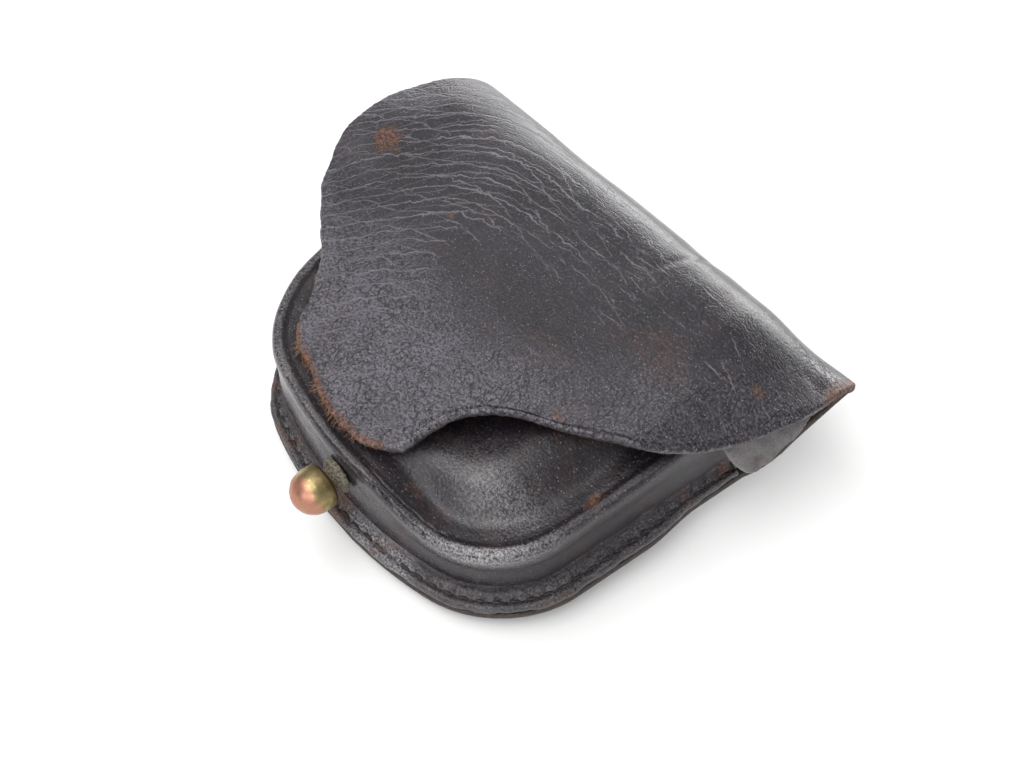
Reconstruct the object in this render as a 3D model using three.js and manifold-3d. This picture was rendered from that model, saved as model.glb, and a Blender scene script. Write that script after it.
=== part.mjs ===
// A small belt pouch of moulded black leather, lying on its back.
//
// Every piece is drawn in the pouch's own frame: x across the pouch, y from the rounded bottom
// towards the fold, z from the back panel's rear face towards the flap, in millimetres. The whole
// pouch then leans on its belt loops by LEAN, and is moved so that the origin is at the centre of
// the bounding box's bottom face.
import * as THREE from "three";
import { mergeVertices } from "three/addons/utils/BufferGeometryUtils.js";
import Module from "manifold-3d";

const wasm = await Module();
wasm.setup();

// ---- Driving dimensions, mm and radians -------------------------------------------------------
const GAP = 0.3; // clearance between pieces that touch
const LEAN = THREE.MathUtils.degToRad(6.5);

const BACK_T = 1.8; // leather of the back, fold and flap, cut in one piece
const SHELL_T = 1.6; // leather of the moulded front
const LINING_T = 1.2; // light leather of the inner flap
const STRAP_T = 1.5; // leather of the belt loops
const THREAD_R = 0.35;

// Outline of the back: three arcs round the bottom, then straight sides that widen upwards.
const BOTTOM_Y = -36;
const BOTTOM_R = 75;
const CORNER_R = 21;
const CORNER_X = 14;
const SIDE_SPREAD = 0.13; // outwards per mm of height

// The fold: a roll between back and flap.
const ROLL_Y = 23.6;
const ROLL_R = 11.7; // outer radius
const FOLD_HALF_WIDTH = 43.5;

// The moulded front.
const MOUTH_Y = 16;
const WALL_BASE_INSET = 3.0;
const RIDGE_INSET = 4.4;
const RIDGE_Z = 18.45;
const SEAM_INSET = 1.55;
const SEAM_DEPTH = 0.9;

// The inner flap's own, smaller roll.
const INNER_ROLL_Y = 22.5;
const INNER_ROLL_Z = 11.15;
const INNER_ROLL_R = 9.05;
const INNER_HALF_WIDTH = 37.4;
const INNER_FRONT_Y = 6;

// Brass stud on the bottom wall.
const STUD_Y = -32.2;
const STUD_Z = 12.7;
const STUD_RISE = THREE.MathUtils.degToRad(8);
const KNOB_R = 3.65;
const SHANK_R = 1.4;

// Belt loops and their rivets.
const LOOP_X = 19;
const LOOP_WIDTH = 17;
const RIVET_Y = -21.5;
const RIVET_SHANK_R = 1.2;
const RIVET_HEAD_R = 3.1;
const RIVET_HEAD_T = 0.5;

// ---- Solids from grids ------------------------------------------------------------------------

// Turns vertices and triangles into a geometry, faces out, without collapsed triangles.
function closedGeometry(points, triangles) {
  const geometry = new THREE.BufferGeometry();
  geometry.setAttribute("position", new THREE.Float32BufferAttribute(points.flat(), 3));
  geometry.setIndex(triangles.flat());
  const merged = mergeVertices(geometry, 1e-4);
  const old = merged.index.array;
  const kept = [];
  for (let i = 0; i < old.length; i += 3) {
    const [a, b, c] = [old[i], old[i + 1], old[i + 2]];
    if (a !== b && b !== c && a !== c) kept.push(a, b, c);
  }
  if (signedVolume(merged.attributes.position, kept) < 0) kept.reverse();
  merged.setIndex(kept);
  return merged;
}

function signedVolume(position, index) {
  const [a, b, c] = [new THREE.Vector3(), new THREE.Vector3(), new THREE.Vector3()];
  let sum = 0;
  for (let i = 0; i < index.length; i += 3) {
    a.fromBufferAttribute(position, index[i]);
    b.fromBufferAttribute(position, index[i + 1]);
    c.fromBufferAttribute(position, index[i + 2]);
    sum += a.dot(b.cross(c));
  }
  return sum / 6;
}

// A sheet between two surfaces, each a function of (u, v) from 0 to 1. A sheet whose last edge
// (v = 1) meets itself, as on a closed cap, has no rim there.
function sheet(outer, inner, us, vs, { rimAtEnd = true } = {}) {
  const points = [];
  for (const side of [outer, inner]) for (const u of us) for (const v of vs) points.push(side(u, v));
  const [n, m] = [us.length, vs.length];
  const at = (side, i, j) => side * n * m + i * m + j;
  const triangles = [];
  const quad = (a, b, c, d) => triangles.push([a, b, c], [a, c, d]);
  for (let i = 0; i < n - 1; i++)
    for (let j = 0; j < m - 1; j++) {
      quad(at(0, i, j), at(0, i + 1, j), at(0, i + 1, j + 1), at(0, i, j + 1));
      quad(at(1, i, j), at(1, i, j + 1), at(1, i + 1, j + 1), at(1, i + 1, j));
    }
  for (let i = 0; i < n - 1; i++) {
    quad(at(0, i, 0), at(1, i, 0), at(1, i + 1, 0), at(0, i + 1, 0));
    if (rimAtEnd) quad(at(0, i, m - 1), at(0, i + 1, m - 1), at(1, i + 1, m - 1), at(1, i, m - 1));
  }
  for (let j = 0; j < m - 1; j++) {
    quad(at(0, 0, j), at(0, 0, j + 1), at(1, 0, j + 1), at(1, 0, j));
    quad(at(0, n - 1, j), at(1, n - 1, j), at(1, n - 1, j + 1), at(0, n - 1, j + 1));
  }
  return closedGeometry(points, triangles);
}

const steps = (count) => Array.from({ length: count + 1 }, (_, i) => i / count);
const axis = (x, y, z) => new THREE.Vector3(x, y, z);

// ---- Booleans ---------------------------------------------------------------------------------

function toSolid(geometry) {
  const bare = geometry.clone();
  bare.deleteAttribute("normal");
  bare.deleteAttribute("uv");
  const merged = mergeVertices(bare, 1e-4);
  return new wasm.Manifold(
    new wasm.Mesh({
      numProp: 3,
      vertProperties: merged.attributes.position.array,
      triVerts: new Uint32Array(merged.index.array),
    }),
  );
}

function toGeometry(solid) {
  const mesh = solid.getMesh();
  const geometry = new THREE.BufferGeometry();
  geometry.setAttribute("position", new THREE.BufferAttribute(mesh.vertProperties, 3));
  geometry.setIndex(new THREE.BufferAttribute(mesh.triVerts, 1));
  return geometry;
}

const cut = (geometry, ...tools) =>
  toGeometry(tools.reduce((solid, tool) => solid.subtract(toSolid(tool)), toSolid(geometry)));

// ---- Shapes that several pieces share ---------------------------------------------------------

// The rim of the back, from the right of the mouth round the bottom to the left of it.
function rimCurve(topY) {
  const bottomCentreY = BOTTOM_Y + BOTTOM_R;
  const cornerY = bottomCentreY - Math.sqrt((BOTTOM_R - CORNER_R) ** 2 - CORNER_X ** 2);
  const bottomAngle = Math.atan2(cornerY - bottomCentreY, CORNER_X);
  const sideAngle = Math.atan(SIDE_SPREAD);
  const sideX = CORNER_X + CORNER_R * Math.cos(sideAngle);
  const sideY = cornerY - CORNER_R * Math.sin(sideAngle);
  const topX = sideX + (topY - sideY) * SIDE_SPREAD;
  return new THREE.Path()
    .moveTo(topX, topY)
    .lineTo(sideX, sideY)
    .absarc(CORNER_X, cornerY, CORNER_R, -sideAngle, bottomAngle, true)
    .absarc(0, bottomCentreY, BOTTOM_R, bottomAngle, -Math.PI - bottomAngle, true)
    .absarc(-CORNER_X, cornerY, CORNER_R, -Math.PI - bottomAngle, -Math.PI + sideAngle, true)
    .lineTo(-topX, topY);
}

// Half the width of the back at height y: where the rim's right half crosses that height.
const rimPoints = rimCurve(ROLL_Y).getSpacedPoints(400).filter((p) => p.x >= 0);
function halfWidth(y) {
  const i = rimPoints.findIndex((p) => p.y <= y);
  if (i <= 0) return i < 0 ? 0 : rimPoints[0].x;
  const [above, below] = [rimPoints[i - 1], rimPoints[i]];
  return THREE.MathUtils.mapLinear(y, below.y, above.y, below.x, above.x);
}

// A point on the roll, at an angle from straight towards +y, on a given radius.
const onRoll = (x, angle, radius) => [
  x,
  ROLL_Y + radius * Math.cos(angle),
  ROLL_R + radius * Math.sin(angle),
];

// The leather widens from the back to the flap as it goes round the roll.
function rollHalfWidth(angle) {
  const share = THREE.MathUtils.smoothstep(angle, -Math.PI / 2, Math.PI / 2);
  return THREE.MathUtils.lerp(halfWidth(ROLL_Y), FOLD_HALF_WIDTH, share);
}

// ---- Back, fold and flap ----------------------------------------------------------------------

const JOINT_ANGLE = Math.PI / 4; // the fold bends at this angle each side of the roll's middle
const HALF_SLIT = GAP / 2 / ROLL_R;

function backPanel() {
  const endAngle = -JOINT_ANGLE - HALF_SLIT;
  const flatShare = 0.85;
  const rows = [...steps(18).map((t) => flatShare * (1 - Math.cos((t * Math.PI) / 2))), 0.9, 0.95, 1];
  const side = (radius, z) => (u, v) => {
    const across = 2 * u - 1;
    if (v <= flatShare) {
      const y = THREE.MathUtils.lerp(BOTTOM_Y + 0.05, ROLL_Y, v / flatShare);
      return [across * halfWidth(y), y, z];
    }
    const angle = THREE.MathUtils.mapLinear(v, flatShare, 1, -Math.PI / 2, endAngle);
    return onRoll(across * rollHalfWidth(angle), angle, radius);
  };
  const columns = [0, 0.07, 0.2, 0.4, 0.6, 0.8, 0.93, 1];
  const panel = sheet(side(ROLL_R - BACK_T, BACK_T), side(ROLL_R, 0), columns, rows);
  return cut(panel, ...[-1, 1].map((s) => rivetHole(s)));
}

function foldSpine() {
  const reach = JOINT_ANGLE - HALF_SLIT;
  const side = (radius) => (u, v) => {
    const angle = THREE.MathUtils.lerp(-reach, reach, v);
    return onRoll((2 * u - 1) * rollHalfWidth(angle), angle, radius);
  };
  return sheet(side(ROLL_R), side(ROLL_R - BACK_T), steps(8), steps(8));
}

// The flap's edge in plan: from the roll down each side, and across the torn tip.
const plan = (...points) => new THREE.SplineCurve(points.map(([x, y]) => new THREE.Vector2(x, y)));
const FLAP_RIGHT = plan(
  [43.5, ROLL_Y], [41.8, 17], [39.4, 12.2], [37, 7.3], [33, 3], [25.3, -2.6], [18.9, -5], [12.8, -8.9],
  [8.8, -13.4], [7.4, -19.6], [7.7, -25.3],
);
const FLAP_LEFT = plan(
  [-43.5, ROLL_Y], [-43.5, 14], [-43.3, 5.5], [-41.3, -1.4], [-37, -6], [-29.8, -12], [-23.7, -18.8],
  [-20.3, -23.6],
);
const FLAP_TIP = plan([-20.3, -23.6], [-12, -26.9], [-3.5, -28.9], [3.2, -28.6], [7.7, -25.3]);

// Height of the flap's upper face: level at the roll, lower at the tip, and drooping at the right.
const TIP_DROP = 2.5;
const RIGHT_DROOP = 3.4;
function flapHeight(x, y) {
  const towardsTip = Math.max(0, ROLL_Y - y) / (ROLL_Y - BOTTOM_Y - 8);
  const rightwards = THREE.MathUtils.clamp((x - 27) / 15, 0, 1);
  const droop = RIGHT_DROOP * rightwards ** 2 * THREE.MathUtils.smoothstep(ROLL_Y - y, 0, 9);
  return 2 * ROLL_R - TIP_DROP * towardsTip ** 1.2 - droop;
}

function outerFlap() {
  const startAngle = JOINT_ANGLE + HALF_SLIT;
  const rollShare = 0.14;
  const rows = [
    ...steps(3).map((t) => t * rollShare),
    ...steps(22).slice(1).map((t) => rollShare + t * (1 - rollShare)),
  ];
  const corner = {
    a: FLAP_LEFT.getPoint(0),
    b: FLAP_RIGHT.getPoint(0),
    c: FLAP_TIP.getPoint(0),
    d: FLAP_TIP.getPoint(1),
  };
  // The sheet is filled in between its four edges.
  const inPlan = (u, v) => {
    const [left, right] = [FLAP_LEFT.getPointAt(v), FLAP_RIGHT.getPointAt(v)];
    const [top, tip] = [corner.a.clone().lerp(corner.b, u), FLAP_TIP.getPointAt(u)];
    const blend = (k) =>
      (1 - u) * left[k] + u * right[k] + (1 - v) * top[k] + v * tip[k] -
      (1 - v) * ((1 - u) * corner.a[k] + u * corner.b[k]) -
      v * ((1 - u) * corner.c[k] + u * corner.d[k]);
    return [blend("x"), blend("y")];
  };
  const side = (radius, drop) => (u, v) => {
    if (v < rollShare) {
      const angle = THREE.MathUtils.mapLinear(v, 0, rollShare, startAngle, Math.PI / 2);
      return onRoll((2 * u - 1) * rollHalfWidth(angle), angle, radius);
    }
    const [x, y] = inPlan(u, (v - rollShare) / (1 - rollShare));
    return [x, y, flapHeight(x, y) - drop];
  };
  return sheet(side(ROLL_R, 0), side(ROLL_R - BACK_T, BACK_T), steps(16), rows);
}

// ---- Moulded front ----------------------------------------------------------------------------

const FLANGE_Z = BACK_T + GAP;
const FLANGE_TOP = FLANGE_Z + SHELL_T;

// Profile from the flange's edge inwards: [inset from the rim, z], and then, on the face,
// [share of the way from the ridge to the middle, z].
const CHANNEL_EDGES = [SEAM_INSET - THREAD_R - GAP, SEAM_INSET + THREAD_R + GAP];
const SHELL_OUTSIDE = [
  [0, FLANGE_TOP - 0.4],
  [0.4, FLANGE_TOP],
  [CHANNEL_EDGES[0], FLANGE_TOP],
  [CHANNEL_EDGES[0], FLANGE_TOP - SEAM_DEPTH],
  [CHANNEL_EDGES[1], FLANGE_TOP - SEAM_DEPTH],
  [CHANNEL_EDGES[1], FLANGE_TOP],
  [WALL_BASE_INSET, FLANGE_TOP + 0.3],
  [WALL_BASE_INSET + 0.5, 8],
  [RIDGE_INSET - 0.3, RIDGE_Z - 2],
  [RIDGE_INSET, RIDGE_Z - 0.5],
  [RIDGE_INSET + 0.8, RIDGE_Z],
];
const FACE_OUTSIDE = [
  [0.06, RIDGE_Z - 0.1],
  [0.16, RIDGE_Z - 1],
  [0.4, RIDGE_Z - 0.5],
  [0.7, RIDGE_Z - 0.25],
  [1, RIDGE_Z - 0.2],
];
const SHELL_INSIDE = [
  [0, FLANGE_Z],
  [0.4, FLANGE_Z],
  [0.6, FLANGE_Z],
  [0.8, FLANGE_Z],
  [2, FLANGE_Z],
  [2.4, FLANGE_Z],
  [WALL_BASE_INSET + SHELL_T, FLANGE_Z],
  [WALL_BASE_INSET + SHELL_T + 0.5, 8],
  [RIDGE_INSET + SHELL_T - 0.3, RIDGE_Z - 3],
  [RIDGE_INSET + SHELL_T + 0.1, RIDGE_Z - 2.2],
  [RIDGE_INSET + SHELL_T + 0.6, RIDGE_Z - SHELL_T - 0.4],
];
const FACE_INSIDE = FACE_OUTSIDE.map(([share, z]) => [share, z - SHELL_T]);
const SPINE_LOW_Y = -8; // the face's middle line runs from here to the mouth

function shellSide(profile, face) {
  const count = 64;
  const rim = rimCurve(MOUTH_Y).getSpacedPoints(count);
  const inwards = rim.map((_, i) => {
    const [a, b] = [rim[Math.max(i - 1, 0)], rim[Math.min(i + 1, count)]];
    return new THREE.Vector2(b.y - a.y, a.x - b.x).normalize();
  });
  inwards[0].set(-1, 0); // the mouth is cut square
  inwards[count].set(1, 0);
  return (u, v) => {
    const i = Math.round(u * count);
    const k = Math.round(v * (profile.length + face.length - 1));
    const step = profile[Math.min(k, profile.length - 1)];
    const x = rim[i].x + inwards[i].x * step[0];
    const y = rim[i].y + inwards[i].y * step[0];
    if (k < profile.length) return [x, y, step[1]];
    const [share, z] = face[k - profile.length];
    const middleY = THREE.MathUtils.clamp(y, SPINE_LOW_Y, MOUTH_Y);
    return [x * (1 - share), THREE.MathUtils.lerp(y, middleY, share), z];
  };
}

function frontShell() {
  const outside = shellSide(SHELL_OUTSIDE, FACE_OUTSIDE);
  const inside = shellSide(SHELL_INSIDE, FACE_INSIDE);
  const vs = steps(SHELL_OUTSIDE.length + FACE_OUTSIDE.length - 1);
  const moulded = sheet(outside, inside, steps(64), vs, { rimAtEnd: false });
  const hole = new THREE.CylinderGeometry(SHANK_R + GAP, SHANK_R + GAP, 8, 16);
  return cut(moulded, placeOnStudAxis(hole));
}

// The seam's thread lies in the channel that runs round the flange.
function rimThread() {
  const count = 72;
  const rim = rimCurve(MOUTH_Y - 0.5).getSpacedPoints(count);
  const centre = rim.map((p, i) => {
    const [a, b] = [rim[Math.max(i - 1, 0)], rim[Math.min(i + 1, count)]];
    const inwards = new THREE.Vector2(b.y - a.y, a.x - b.x).normalize();
    return new THREE.Vector3(
      p.x + inwards.x * SEAM_INSET,
      p.y + inwards.y * SEAM_INSET,
      FLANGE_TOP - SEAM_DEPTH + THREAD_R + 0.2,
    );
  });
  return threadAlong(new THREE.CatmullRomCurve3(centre), count);
}

function threadAlong(path, count) {
  const section = new THREE.Shape().absarc(0, 0, THREAD_R, 0, 2 * Math.PI);
  return new THREE.ExtrudeGeometry(section, {
    steps: count,
    curveSegments: 4,
    extrudePath: path,
    bevelEnabled: false,
  });
}

// ---- Inner flap -------------------------------------------------------------------------------

const onInnerRoll = (x, angle, radius) => [
  x,
  INNER_ROLL_Y + radius * Math.cos(angle),
  INNER_ROLL_Z + radius * Math.sin(angle),
];
const INNER_SLIT = GAP / 2 / INNER_ROLL_R;
const HEM_END_Y = 16.4;
const HEM_SEAM_Y = 18.6;

// The part of the inner flap that is sewn to the back, up to where it bends.
function innerFlapHem() {
  const endAngle = -JOINT_ANGLE - INNER_SLIT;
  const side = (radius, z) => (u, v) => {
    const x = (2 * u - 1) * (INNER_HALF_WIDTH - 1);
    if (v <= 0.5) return [x, THREE.MathUtils.mapLinear(v, 0, 0.5, HEM_END_Y, INNER_ROLL_Y), z];
    return onInnerRoll(x, THREE.MathUtils.mapLinear(v, 0.5, 1, -Math.PI / 2, endAngle), radius);
  };
  const low = INNER_ROLL_Z - INNER_ROLL_R;
  const upper = side(INNER_ROLL_R - LINING_T, low + LINING_T);
  const hem = sheet(upper, side(INNER_ROLL_R, low), steps(4), steps(8));
  const channel = new THREE.BoxGeometry(2 * INNER_HALF_WIDTH, 2 * (THREAD_R + GAP), 1);
  channel.translate(0, HEM_SEAM_Y, low + LINING_T + 0.05);
  return cut(hem, channel);
}

function hemThread() {
  const z = INNER_ROLL_Z - INNER_ROLL_R + LINING_T + THREAD_R - 0.15;
  const half = INNER_HALF_WIDTH - 2;
  return threadAlong(new THREE.LineCurve3(axis(-half, HEM_SEAM_Y, z), axis(half, HEM_SEAM_Y, z)), 2);
}

// The inner flap's front edge: straight in the middle, rounded towards the ends.
const INNER_EDGE_DROP = 2.2;
const innerEdgeDrop = (x) => INNER_EDGE_DROP * THREE.MathUtils.clamp((Math.abs(x) - 33.4) / 4, 0, 1) ** 2;
function innerFrontY(x) {
  return INNER_FRONT_Y + 7 * THREE.MathUtils.clamp((Math.abs(x) - 26) / 11.4, 0, 1) ** 2;
}

function innerFlap() {
  const startAngle = -JOINT_ANGLE + INNER_SLIT;
  const rollShare = 0.6;
  const side = (radius, drop) => (u, v) => {
    const x = (2 * u - 1) * INNER_HALF_WIDTH;
    if (v <= rollShare) {
      const angle = THREE.MathUtils.mapLinear(v, 0, rollShare, startAngle, Math.PI / 2);
      const [, y, z] = onInnerRoll(x, angle, radius);
      return [x, y, z - innerEdgeDrop(x) * THREE.MathUtils.smoothstep(angle, 0.2, Math.PI / 2)];
    }
    const y = THREE.MathUtils.mapLinear(v, rollShare, 1, INNER_ROLL_Y, innerFrontY(x));
    return [x, y, INNER_ROLL_Z + INNER_ROLL_R - drop - innerEdgeDrop(x)];
  };
  return sheet(side(INNER_ROLL_R, 0), side(INNER_ROLL_R - LINING_T, LINING_T), steps(16), steps(15));
}

// An ear hangs from each end of the inner flap and closes the end of the mouth. It is a rounded
// tongue, drawn from the side as (y, z), that leans outwards towards its lower edge.
const EAR_TOP_Z = 16.2;
const EAR_TOP_X = 37.6;
const EAR_LOW_X = 39.6;
const EAR_LOW_Z = 6.4;
function innerEar(sideSign) {
  const front = plan([10.5, EAR_TOP_Z], [11.2, 11.6], [14.6, 7.6], [18.5, EAR_LOW_Z]);
  const back = plan([26.5, EAR_TOP_Z], [26.9, 11.6], [26.2, 8.2], [24.6, EAR_LOW_Z]);
  const side = (offset) => (u, v) => {
    const [a, b] = [front.getPointAt(v), back.getPointAt(v)];
    const z = THREE.MathUtils.lerp(a.y, b.y, u);
    const x = THREE.MathUtils.mapLinear(z, EAR_TOP_Z, EAR_LOW_Z, EAR_TOP_X, EAR_LOW_X);
    return [sideSign * (x + offset), THREE.MathUtils.lerp(a.x, b.x, u), z];
  };
  return sheet(side(LINING_T), side(0), steps(6), steps(8));
}

// ---- Lining, loops and fittings ---------------------------------------------------------------

// A strip of fleece on the inside of the back keeps small things in: a slab with a crowned face.
function fleeceStrip() {
  const [halfX, lowY, highY, low] = [29, -9, 13, BACK_T + GAP];
  const pile = 3.6;
  const top = (u, v) => {
    const [s, t] = [2 * u - 1, 2 * v - 1];
    const crown = (pile - 1) * (1 - s ** 6) * (1 - t ** 4);
    return [s * halfX, THREE.MathUtils.lerp(lowY, highY, v), low + 1 + crown];
  };
  const base = (u, v) => [(2 * u - 1) * halfX, THREE.MathUtils.lerp(lowY, highY, v), low];
  return sheet(top, base, steps(12), steps(8));
}

const STAND_SLOPE = Math.tan(LEAN); // the table's slope seen in the pouch's frame
const STAND_Y = RIVET_Y - RIVET_HEAD_R + 0.4; // the rivet heads' lower edges also rest on it
const STAND_Z = -GAP - STRAP_T - GAP - RIVET_HEAD_T;
const tableZ = (y) => STAND_Z - (y - STAND_Y) * STAND_SLOPE;
const SEWN_Z = -GAP - STRAP_T;
const LOOP_SEAM_LOW_Y = -26;
const LOOP_SEAM_HIGH_Y = 23;

// A loop seen from its side as (y, z): sewn flat at both ends, bowed out between them for the belt,
// and flat where it rests on the table. Each sewn end has a channel for its thread.
function beltLoop(sideSign) {
  const channel = (y) => [
    [y - THREAD_R - GAP, SEWN_Z], [y - THREAD_R - GAP, SEWN_Z + 0.75],
    [y + THREAD_R + GAP, SEWN_Z + 0.75], [y + THREAD_R + GAP, SEWN_Z],
  ];
  const bow = [
    [-16.5, SEWN_Z], [-10, -3.2], [-3, -4.7], [3, tableZ(3)], [14, tableZ(14)],
    [16.4, -5.6], [18.2, -3.7], [19.8, -2.2], [21.2, SEWN_Z],
  ];
  const outside = [
    [-27.5, SEWN_Z],
    ...channel(LOOP_SEAM_LOW_Y),
    ...bow,
    ...channel(LOOP_SEAM_HIGH_Y),
    [24.5, SEWN_Z],
  ];
  const inside = [
    [24.5, -GAP], [21.6, -GAP], [20.6, -0.8], [18.9, -2.4], [17.1, -4], [15.4, -5.2],
    [13.8, tableZ(13.8) + STRAP_T], [3, tableZ(3) + STRAP_T], [-3, -4.7 + STRAP_T], [-10, -3.2 + STRAP_T],
    [-16.2, -GAP], [-27.5, -GAP],
  ];
  const outline = new THREE.Shape([...outside, ...inside].map(([y, z]) => new THREE.Vector2(y, z)));
  const strap = new THREE.ExtrudeGeometry(outline, { depth: LOOP_WIDTH, bevelEnabled: false });
  // Shape x, y and depth become the pouch's y, z and x.
  strap.applyMatrix4(new THREE.Matrix4().makeBasis(axis(0, 1, 0), axis(0, 0, 1), axis(1, 0, 0)));
  strap.translate(sideSign * LOOP_X - LOOP_WIDTH / 2, 0, 0);
  return cut(strap, rivetHole(sideSign));
}

function loopThread(sideSign, y) {
  const [x, z, half] = [sideSign * LOOP_X, SEWN_Z + THREAD_R + 0.05, LOOP_WIDTH / 2 - 1];
  return threadAlong(new THREE.LineCurve3(axis(x - half, y, z), axis(x + half, y, z)), 1);
}

// Lathe profiles are [radius, height] from the axis round and back to it.
function turned(profile, segments) {
  return new THREE.LatheGeometry(profile.map(([r, h]) => new THREE.Vector2(r, h)), segments);
}

function standAt(geometry, x, y) {
  geometry.rotateX(Math.PI / 2); // the lathe's axis, +y, becomes +z
  return geometry.translate(x, y, 0);
}

function rivetHole(sideSign) {
  const hole = new THREE.CylinderGeometry(RIVET_SHANK_R + GAP, RIVET_SHANK_R + GAP, 12, 16);
  return standAt(hole, sideSign * LOOP_X, RIVET_Y);
}

const BURR_LOW = BACK_T + GAP;
const BURR_T = 0.7;

// A copper rivet: a low head under the loop, a shank, and an end peened over the burr.
function loopRivet(sideSign) {
  const headTop = SEWN_Z - GAP;
  const peenLow = BURR_LOW + BURR_T + GAP;
  const rivet = turned(
    [
      [0, headTop - RIVET_HEAD_T],
      [RIVET_HEAD_R - 0.4, headTop - RIVET_HEAD_T],
      [RIVET_HEAD_R, headTop - 0.2],
      [RIVET_HEAD_R, headTop],
      [RIVET_SHANK_R, headTop],
      [RIVET_SHANK_R, peenLow],
      [2, peenLow],
      [1.6, peenLow + 0.6],
      [0, peenLow + 0.9],
    ],
    20,
  );
  return standAt(rivet, sideSign * LOOP_X, RIVET_Y);
}

const washer = (inner, outer, low, thick) => [
  [inner, low],
  [outer, low],
  [outer, low + 0.6 * thick],
  [outer - 0.4, low + thick],
  [inner, low + thick],
  [inner, low],
];

function loopBurr(sideSign) {
  const ring = turned(washer(RIVET_SHANK_R + GAP, 3.3, BURR_LOW, BURR_T), 20);
  return standAt(ring, sideSign * LOOP_X, RIVET_Y);
}

// Puts a lathe made along +y onto the stud's axis: outwards from the bottom wall and a little up.
function placeOnStudAxis(geometry) {
  geometry.rotateX(Math.PI - STUD_RISE);
  return geometry.translate(0, STUD_Y, STUD_Z);
}

const WALL_IN = -SHELL_T - GAP; // along the stud's axis, the inside of the wall and its clearance
const STUD_BURR_T = 0.7;

function stud() {
  const peen = WALL_IN - STUD_BURR_T - GAP - 0.15;
  const nose = steps(8).map((t) => {
    const angle = (t * Math.PI) / 2;
    return [KNOB_R * Math.cos(angle), 4.8 + KNOB_R * Math.sin(angle)];
  });
  nose[nose.length - 1][0] = 0;
  const profile = [
    [0, peen - 0.8], [1.7, peen - 0.5], [2.1, peen], [SHANK_R, peen], [SHANK_R, 0.55], [2.9, 0.55], [2.7, 1.2],
    [2.0, 1.5], [1.8, 2.1], [2.1, 2.6], [KNOB_R - 0.3, 2.7], [KNOB_R, 3.1], ...nose,
  ];
  return placeOnStudAxis(turned(profile, 28));
}

function studBurr() {
  const low = WALL_IN - STUD_BURR_T - 0.15;
  return placeOnStudAxis(turned(washer(SHANK_R + GAP, 3.4, low, STUD_BURR_T), 24));
}

// ---- Assembly ---------------------------------------------------------------------------------

const finish = (color, roughness, metalness = 0) =>
  new THREE.MeshStandardMaterial({ color, roughness, metalness });
const bridleLeather = finish(0x2a282b, 0.5);
const liningLeather = finish(0x4a4a4d, 0.75);
const fleece = finish(0xc9b48c, 0.95);
const thread = finish(0x1f1c1a, 0.8);
const brass = finish(0x9c6b3a, 0.35, 1);
const copper = finish(0x8a4f35, 0.45, 1);

function piece(name, geometry, material) {
  const mesh = new THREE.Mesh(geometry, material);
  mesh.name = name;
  return mesh;
}

const pouch = new THREE.Group();
pouch.add(
  piece("back_panel", backPanel(), bridleLeather),
  piece("fold_spine", foldSpine(), bridleLeather),
  piece("outer_flap", outerFlap(), bridleLeather),
  piece("front_shell", frontShell(), bridleLeather),
  piece("rim_thread", rimThread(), thread),
  piece("inner_flap_hem", innerFlapHem(), liningLeather),
  piece("hem_thread", hemThread(), thread),
  piece("inner_flap", innerFlap(), liningLeather),
  piece("fleece_strip", fleeceStrip(), fleece),
  piece("stud", stud(), brass),
  piece("stud_burr", studBurr(), brass),
);
for (const [side, sign] of [["left", -1], ["right", 1]])
  pouch.add(
    piece(`inner_ear_${side}`, innerEar(sign), liningLeather),
    piece(`belt_loop_${side}`, beltLoop(sign), bridleLeather),
    piece(`loop_thread_low_${side}`, loopThread(sign, LOOP_SEAM_LOW_Y), thread),
    piece(`loop_thread_high_${side}`, loopThread(sign, LOOP_SEAM_HIGH_Y), thread),
    piece(`loop_rivet_${side}`, loopRivet(sign), copper),
    piece(`loop_burr_${side}`, loopBurr(sign), copper),
  );

// Lean the pouch on its loops, and put the origin under the middle of it.
pouch.rotation.x = LEAN;
const part = new THREE.Group().add(pouch);
const box = new THREE.Box3().setFromObject(part, true);
pouch.position.set(-(box.min.x + box.max.x) / 2, -(box.min.y + box.max.y) / 2, -box.min.z);

export default part;
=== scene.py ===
"""A small worn belt pouch of black leather, lying on its back: its looks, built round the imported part."""
import math

import bmesh
import bpy
import numpy as np
from mathutils import Matrix, Vector

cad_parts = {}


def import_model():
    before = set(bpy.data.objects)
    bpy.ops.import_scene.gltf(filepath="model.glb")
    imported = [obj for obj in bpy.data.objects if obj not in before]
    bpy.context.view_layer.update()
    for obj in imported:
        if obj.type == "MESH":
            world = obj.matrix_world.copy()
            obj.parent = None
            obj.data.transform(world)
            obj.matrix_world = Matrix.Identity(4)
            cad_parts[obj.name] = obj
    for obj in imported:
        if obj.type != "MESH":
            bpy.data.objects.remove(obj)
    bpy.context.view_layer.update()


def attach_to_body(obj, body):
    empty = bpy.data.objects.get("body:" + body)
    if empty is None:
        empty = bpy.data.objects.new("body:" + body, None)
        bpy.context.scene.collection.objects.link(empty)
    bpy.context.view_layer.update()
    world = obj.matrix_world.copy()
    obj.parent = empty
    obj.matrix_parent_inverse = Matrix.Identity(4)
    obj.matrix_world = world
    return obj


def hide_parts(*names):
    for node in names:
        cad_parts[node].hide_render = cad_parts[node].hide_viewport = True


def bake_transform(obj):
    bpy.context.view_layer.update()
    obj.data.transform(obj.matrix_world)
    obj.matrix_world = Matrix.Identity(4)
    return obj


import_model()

# ---- The pouch's own frame, in mm: x across, y towards the fold, z away from the back ----------
LEAN = math.radians(6.5)
SHIFT = np.array([0.0083, 4.0456, 5.3228])
TURN = np.array([
    [1, 0, 0],
    [0, math.cos(LEAN), -math.sin(LEAN)],
    [0, math.sin(LEAN), math.cos(LEAN)],
])

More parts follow.
